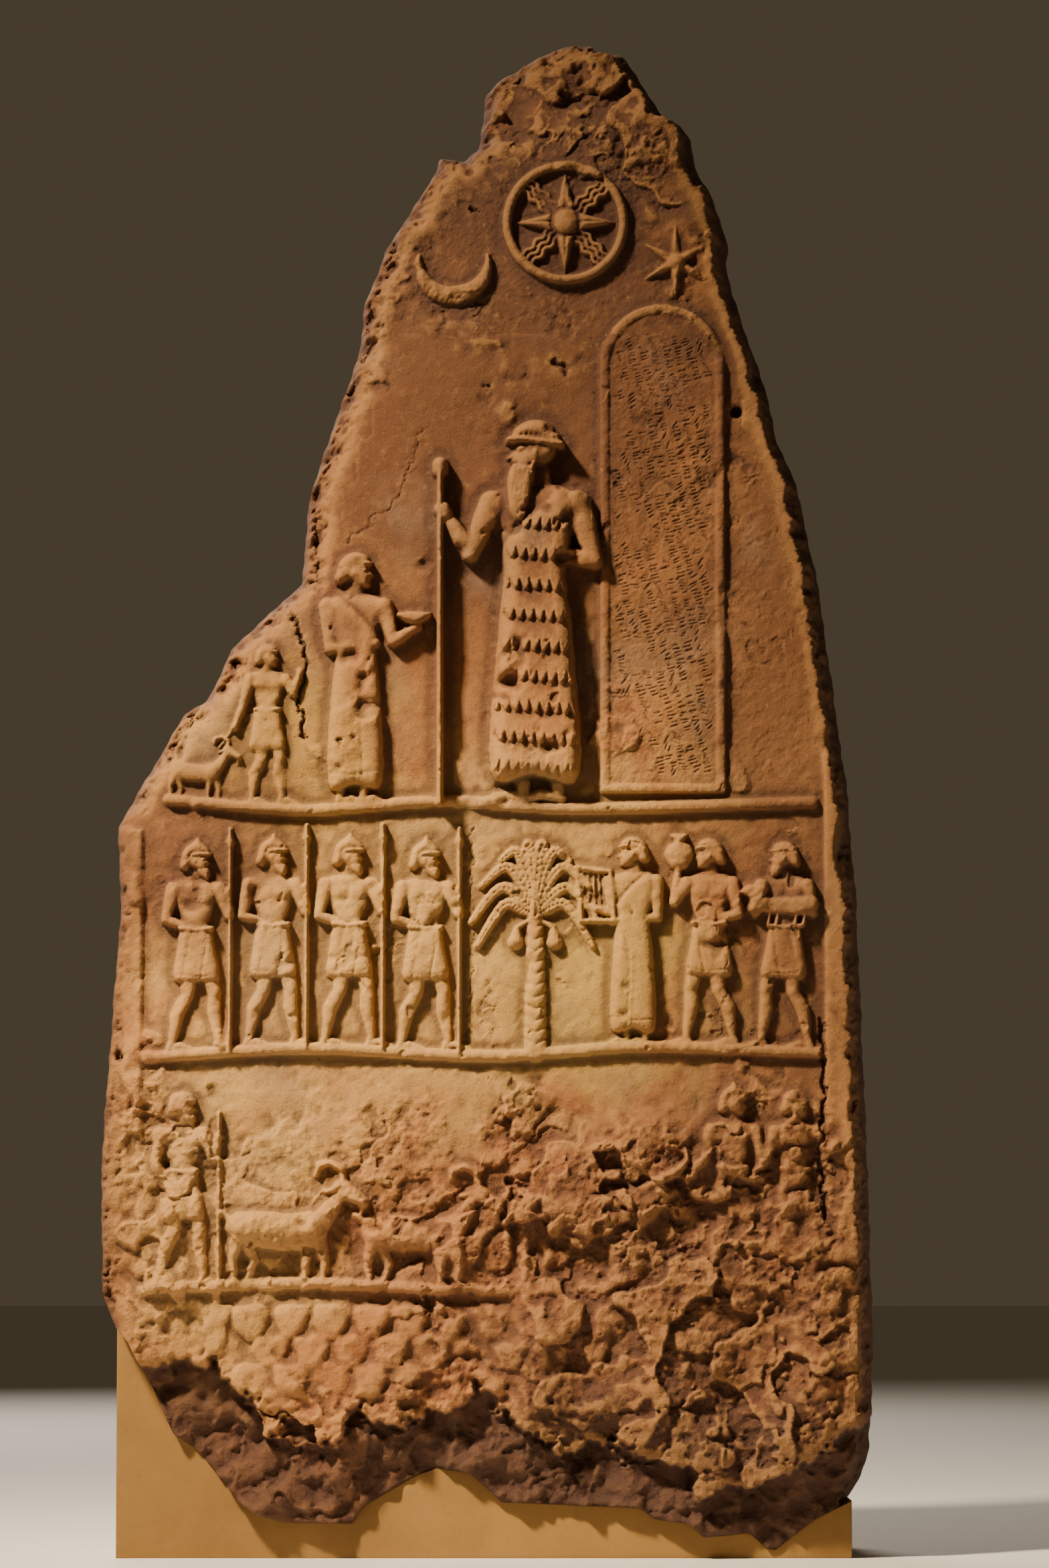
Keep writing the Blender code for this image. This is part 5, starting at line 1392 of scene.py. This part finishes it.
    # painted shade in the strokes: the deeper the cut, the darker the colour, through the hollow shading
    # attribute
    old = g.add("GeometryNodeInputNamedAttribute", {"Name": "cavityShadeAndHighlight"}, data_type="FLOAT").outputs[0]
    darkAndShaded = g.maths("MAXIMUM", old, g.maths("MULTIPLY", cut, 0.9))
    shaded = g.add("GeometryNodeStoreNamedAttribute",
                   {"Geometry": given["Geometry"], "Name": "cavityShadeAndHighlight", "Value": darkAndShaded},
                   data_type="FLOAT", domain="POINT").outputs[0]
    carved = g.add("GeometryNodeSetPosition", {"Geometry": shaded, "Offset": shift}).outputs[0]
    whole = g.add("GeometryNodeRealizeInstances", {"Geometry": carved}).outputs[0]
    finished = g.add("GeometryNodeSetMaterial",
                     {"Geometry": whole, "Material": given["Material"]}).outputs[0]
    g.tree.links.new(finished, g.result["Geometry"])
    return g.tree


def cutStrokes(piece, material):
    tree = strokesTree()
    modifier = piece.modifiers.new("strokes", "NODES")
    modifier.node_group = tree
    settings = {"Column Pitch": panel["columnPitch"], "Stroke Pitch": panel["strokePitch"],
                "Stroke Length": panel["strokeLength"], "Half Width": panel["strokeHalfWidth"],
                "Depth": panel["strokeDepth"], "Lean": panel["lean"], "Seed": panel["seed"],
                "Material": material}
    for socket in tree.interface.items_tree:
        if socket.in_out == "INPUT" and socket.name in settings:
            modifier[socket.identifier] = settings[socket.name]
    graph = bpy.context.evaluated_depsgraph_get()
    mesh = bpy.data.meshes.new_from_object(piece.evaluated_get(graph))
    mesh.name = piece.name
    piece.modifiers.remove(modifier)
    plain, piece.data = piece.data, mesh
    bpy.data.meshes.remove(plain)
    print("cut the strokes")


def finishPiece(piece, material, node):
    piece.data.materials.clear()
    piece.data.materials.append(material)
    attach(piece, "root")
    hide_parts(node)


sandstone = sandstoneMaterial()
covered = np.zeros(gridX.shape)
for carvingName, bounds in carvings.items():
    stretch = carvingRegion(bounds)
    depthInside = insideMargin(stretch)
    covered = np.maximum(covered, depthInside)
    carving = makeCarving(carvingName, stretch, depthInside)
    if carvingName == "inscribedPanel":
        cutStrokes(carving, sandstone)
    finishPiece(carving, sandstone, "stone")
finishPiece(makeBody(covered), sandstone, "stone")
finishPiece(makeBlock(), fillerMaterial(), "support_block")


studio = {
    "cameraPlace": (0.046, -7.07, 0.4415), "cameraTilt": 4.696, "lens": 121.6, "sensor": 36,
    "world": 0.07, "worldColour": (1.0, 0.76, 0.46, 1),
    "floorSize": 40, "floorColour": (0.72, 0.71, 0.69, 1), "floorRoughness": 0.7,
    "aim": (-0.06, 0.0, 0.34),
    # each light's place, size, power, spread and colour
    "key": ((-2.4, -2.5, 4.2), 0.45, 47, 44, (1.0, 0.80, 0.53)),
    "fill": ((-0.6, -5.6, 1.2), 3.0, 11, 180, (1.0, 0.90, 0.80)),
    "back": ((-1.6, 4.6, 3.4), 3.0, 210, 180, (1.0, 0.88, 0.74)),
}


def aimed(place, target):
    return (Vector(target) - Vector(place)).to_track_quat("-Z", "Y").to_euler()


def makeStudio():
    camera = bpy.data.objects.new("camera", bpy.data.cameras.new("camera"))
    camera.location = studio["cameraPlace"]
    camera.rotation_euler = (math.radians(90 + studio["cameraTilt"]), 0, 0)
    camera.data.lens, camera.data.sensor_width = studio["lens"], studio["sensor"]
    bpy.context.scene.collection.objects.link(camera)
    bpy.context.scene.camera = camera
    for name in ("key", "fill", "back"):
        place, size, power, spread, colour = studio[name]
        light = bpy.data.lights.new(name + "Light", "AREA")
        light.size, light.energy, light.spread, light.color = size, power, math.radians(spread), colour
        holder = bpy.data.objects.new(name + "Light", light)
        holder.location, holder.rotation_euler = place, aimed(place, studio["aim"])
        bpy.context.scene.collection.objects.link(holder)
    world = bpy.data.worlds.new("studio")
    world.use_nodes = True
    background = world.node_tree.nodes["Background"].inputs
    background["Color"].default_value = studio["worldColour"]
    background["Strength"].default_value = studio["world"]
    bpy.context.scene.world = world
    bpy.ops.mesh.primitive_plane_add(size=studio["floorSize"], location=(0, 0, blockLow[2]))
    floor = bpy.context.object
    floor.name = "floor"
    ground = bpy.data.materials.new("paleFloor")
    ground.use_nodes = True
    shader = ground.node_tree.nodes["Principled BSDF"].inputs
    shader["Base Color"].default_value = studio["floorColour"]
    shader["Roughness"].default_value = studio["floorRoughness"]
    floor.data.materials.append(ground)
    print("set the studio")


makeStudio()
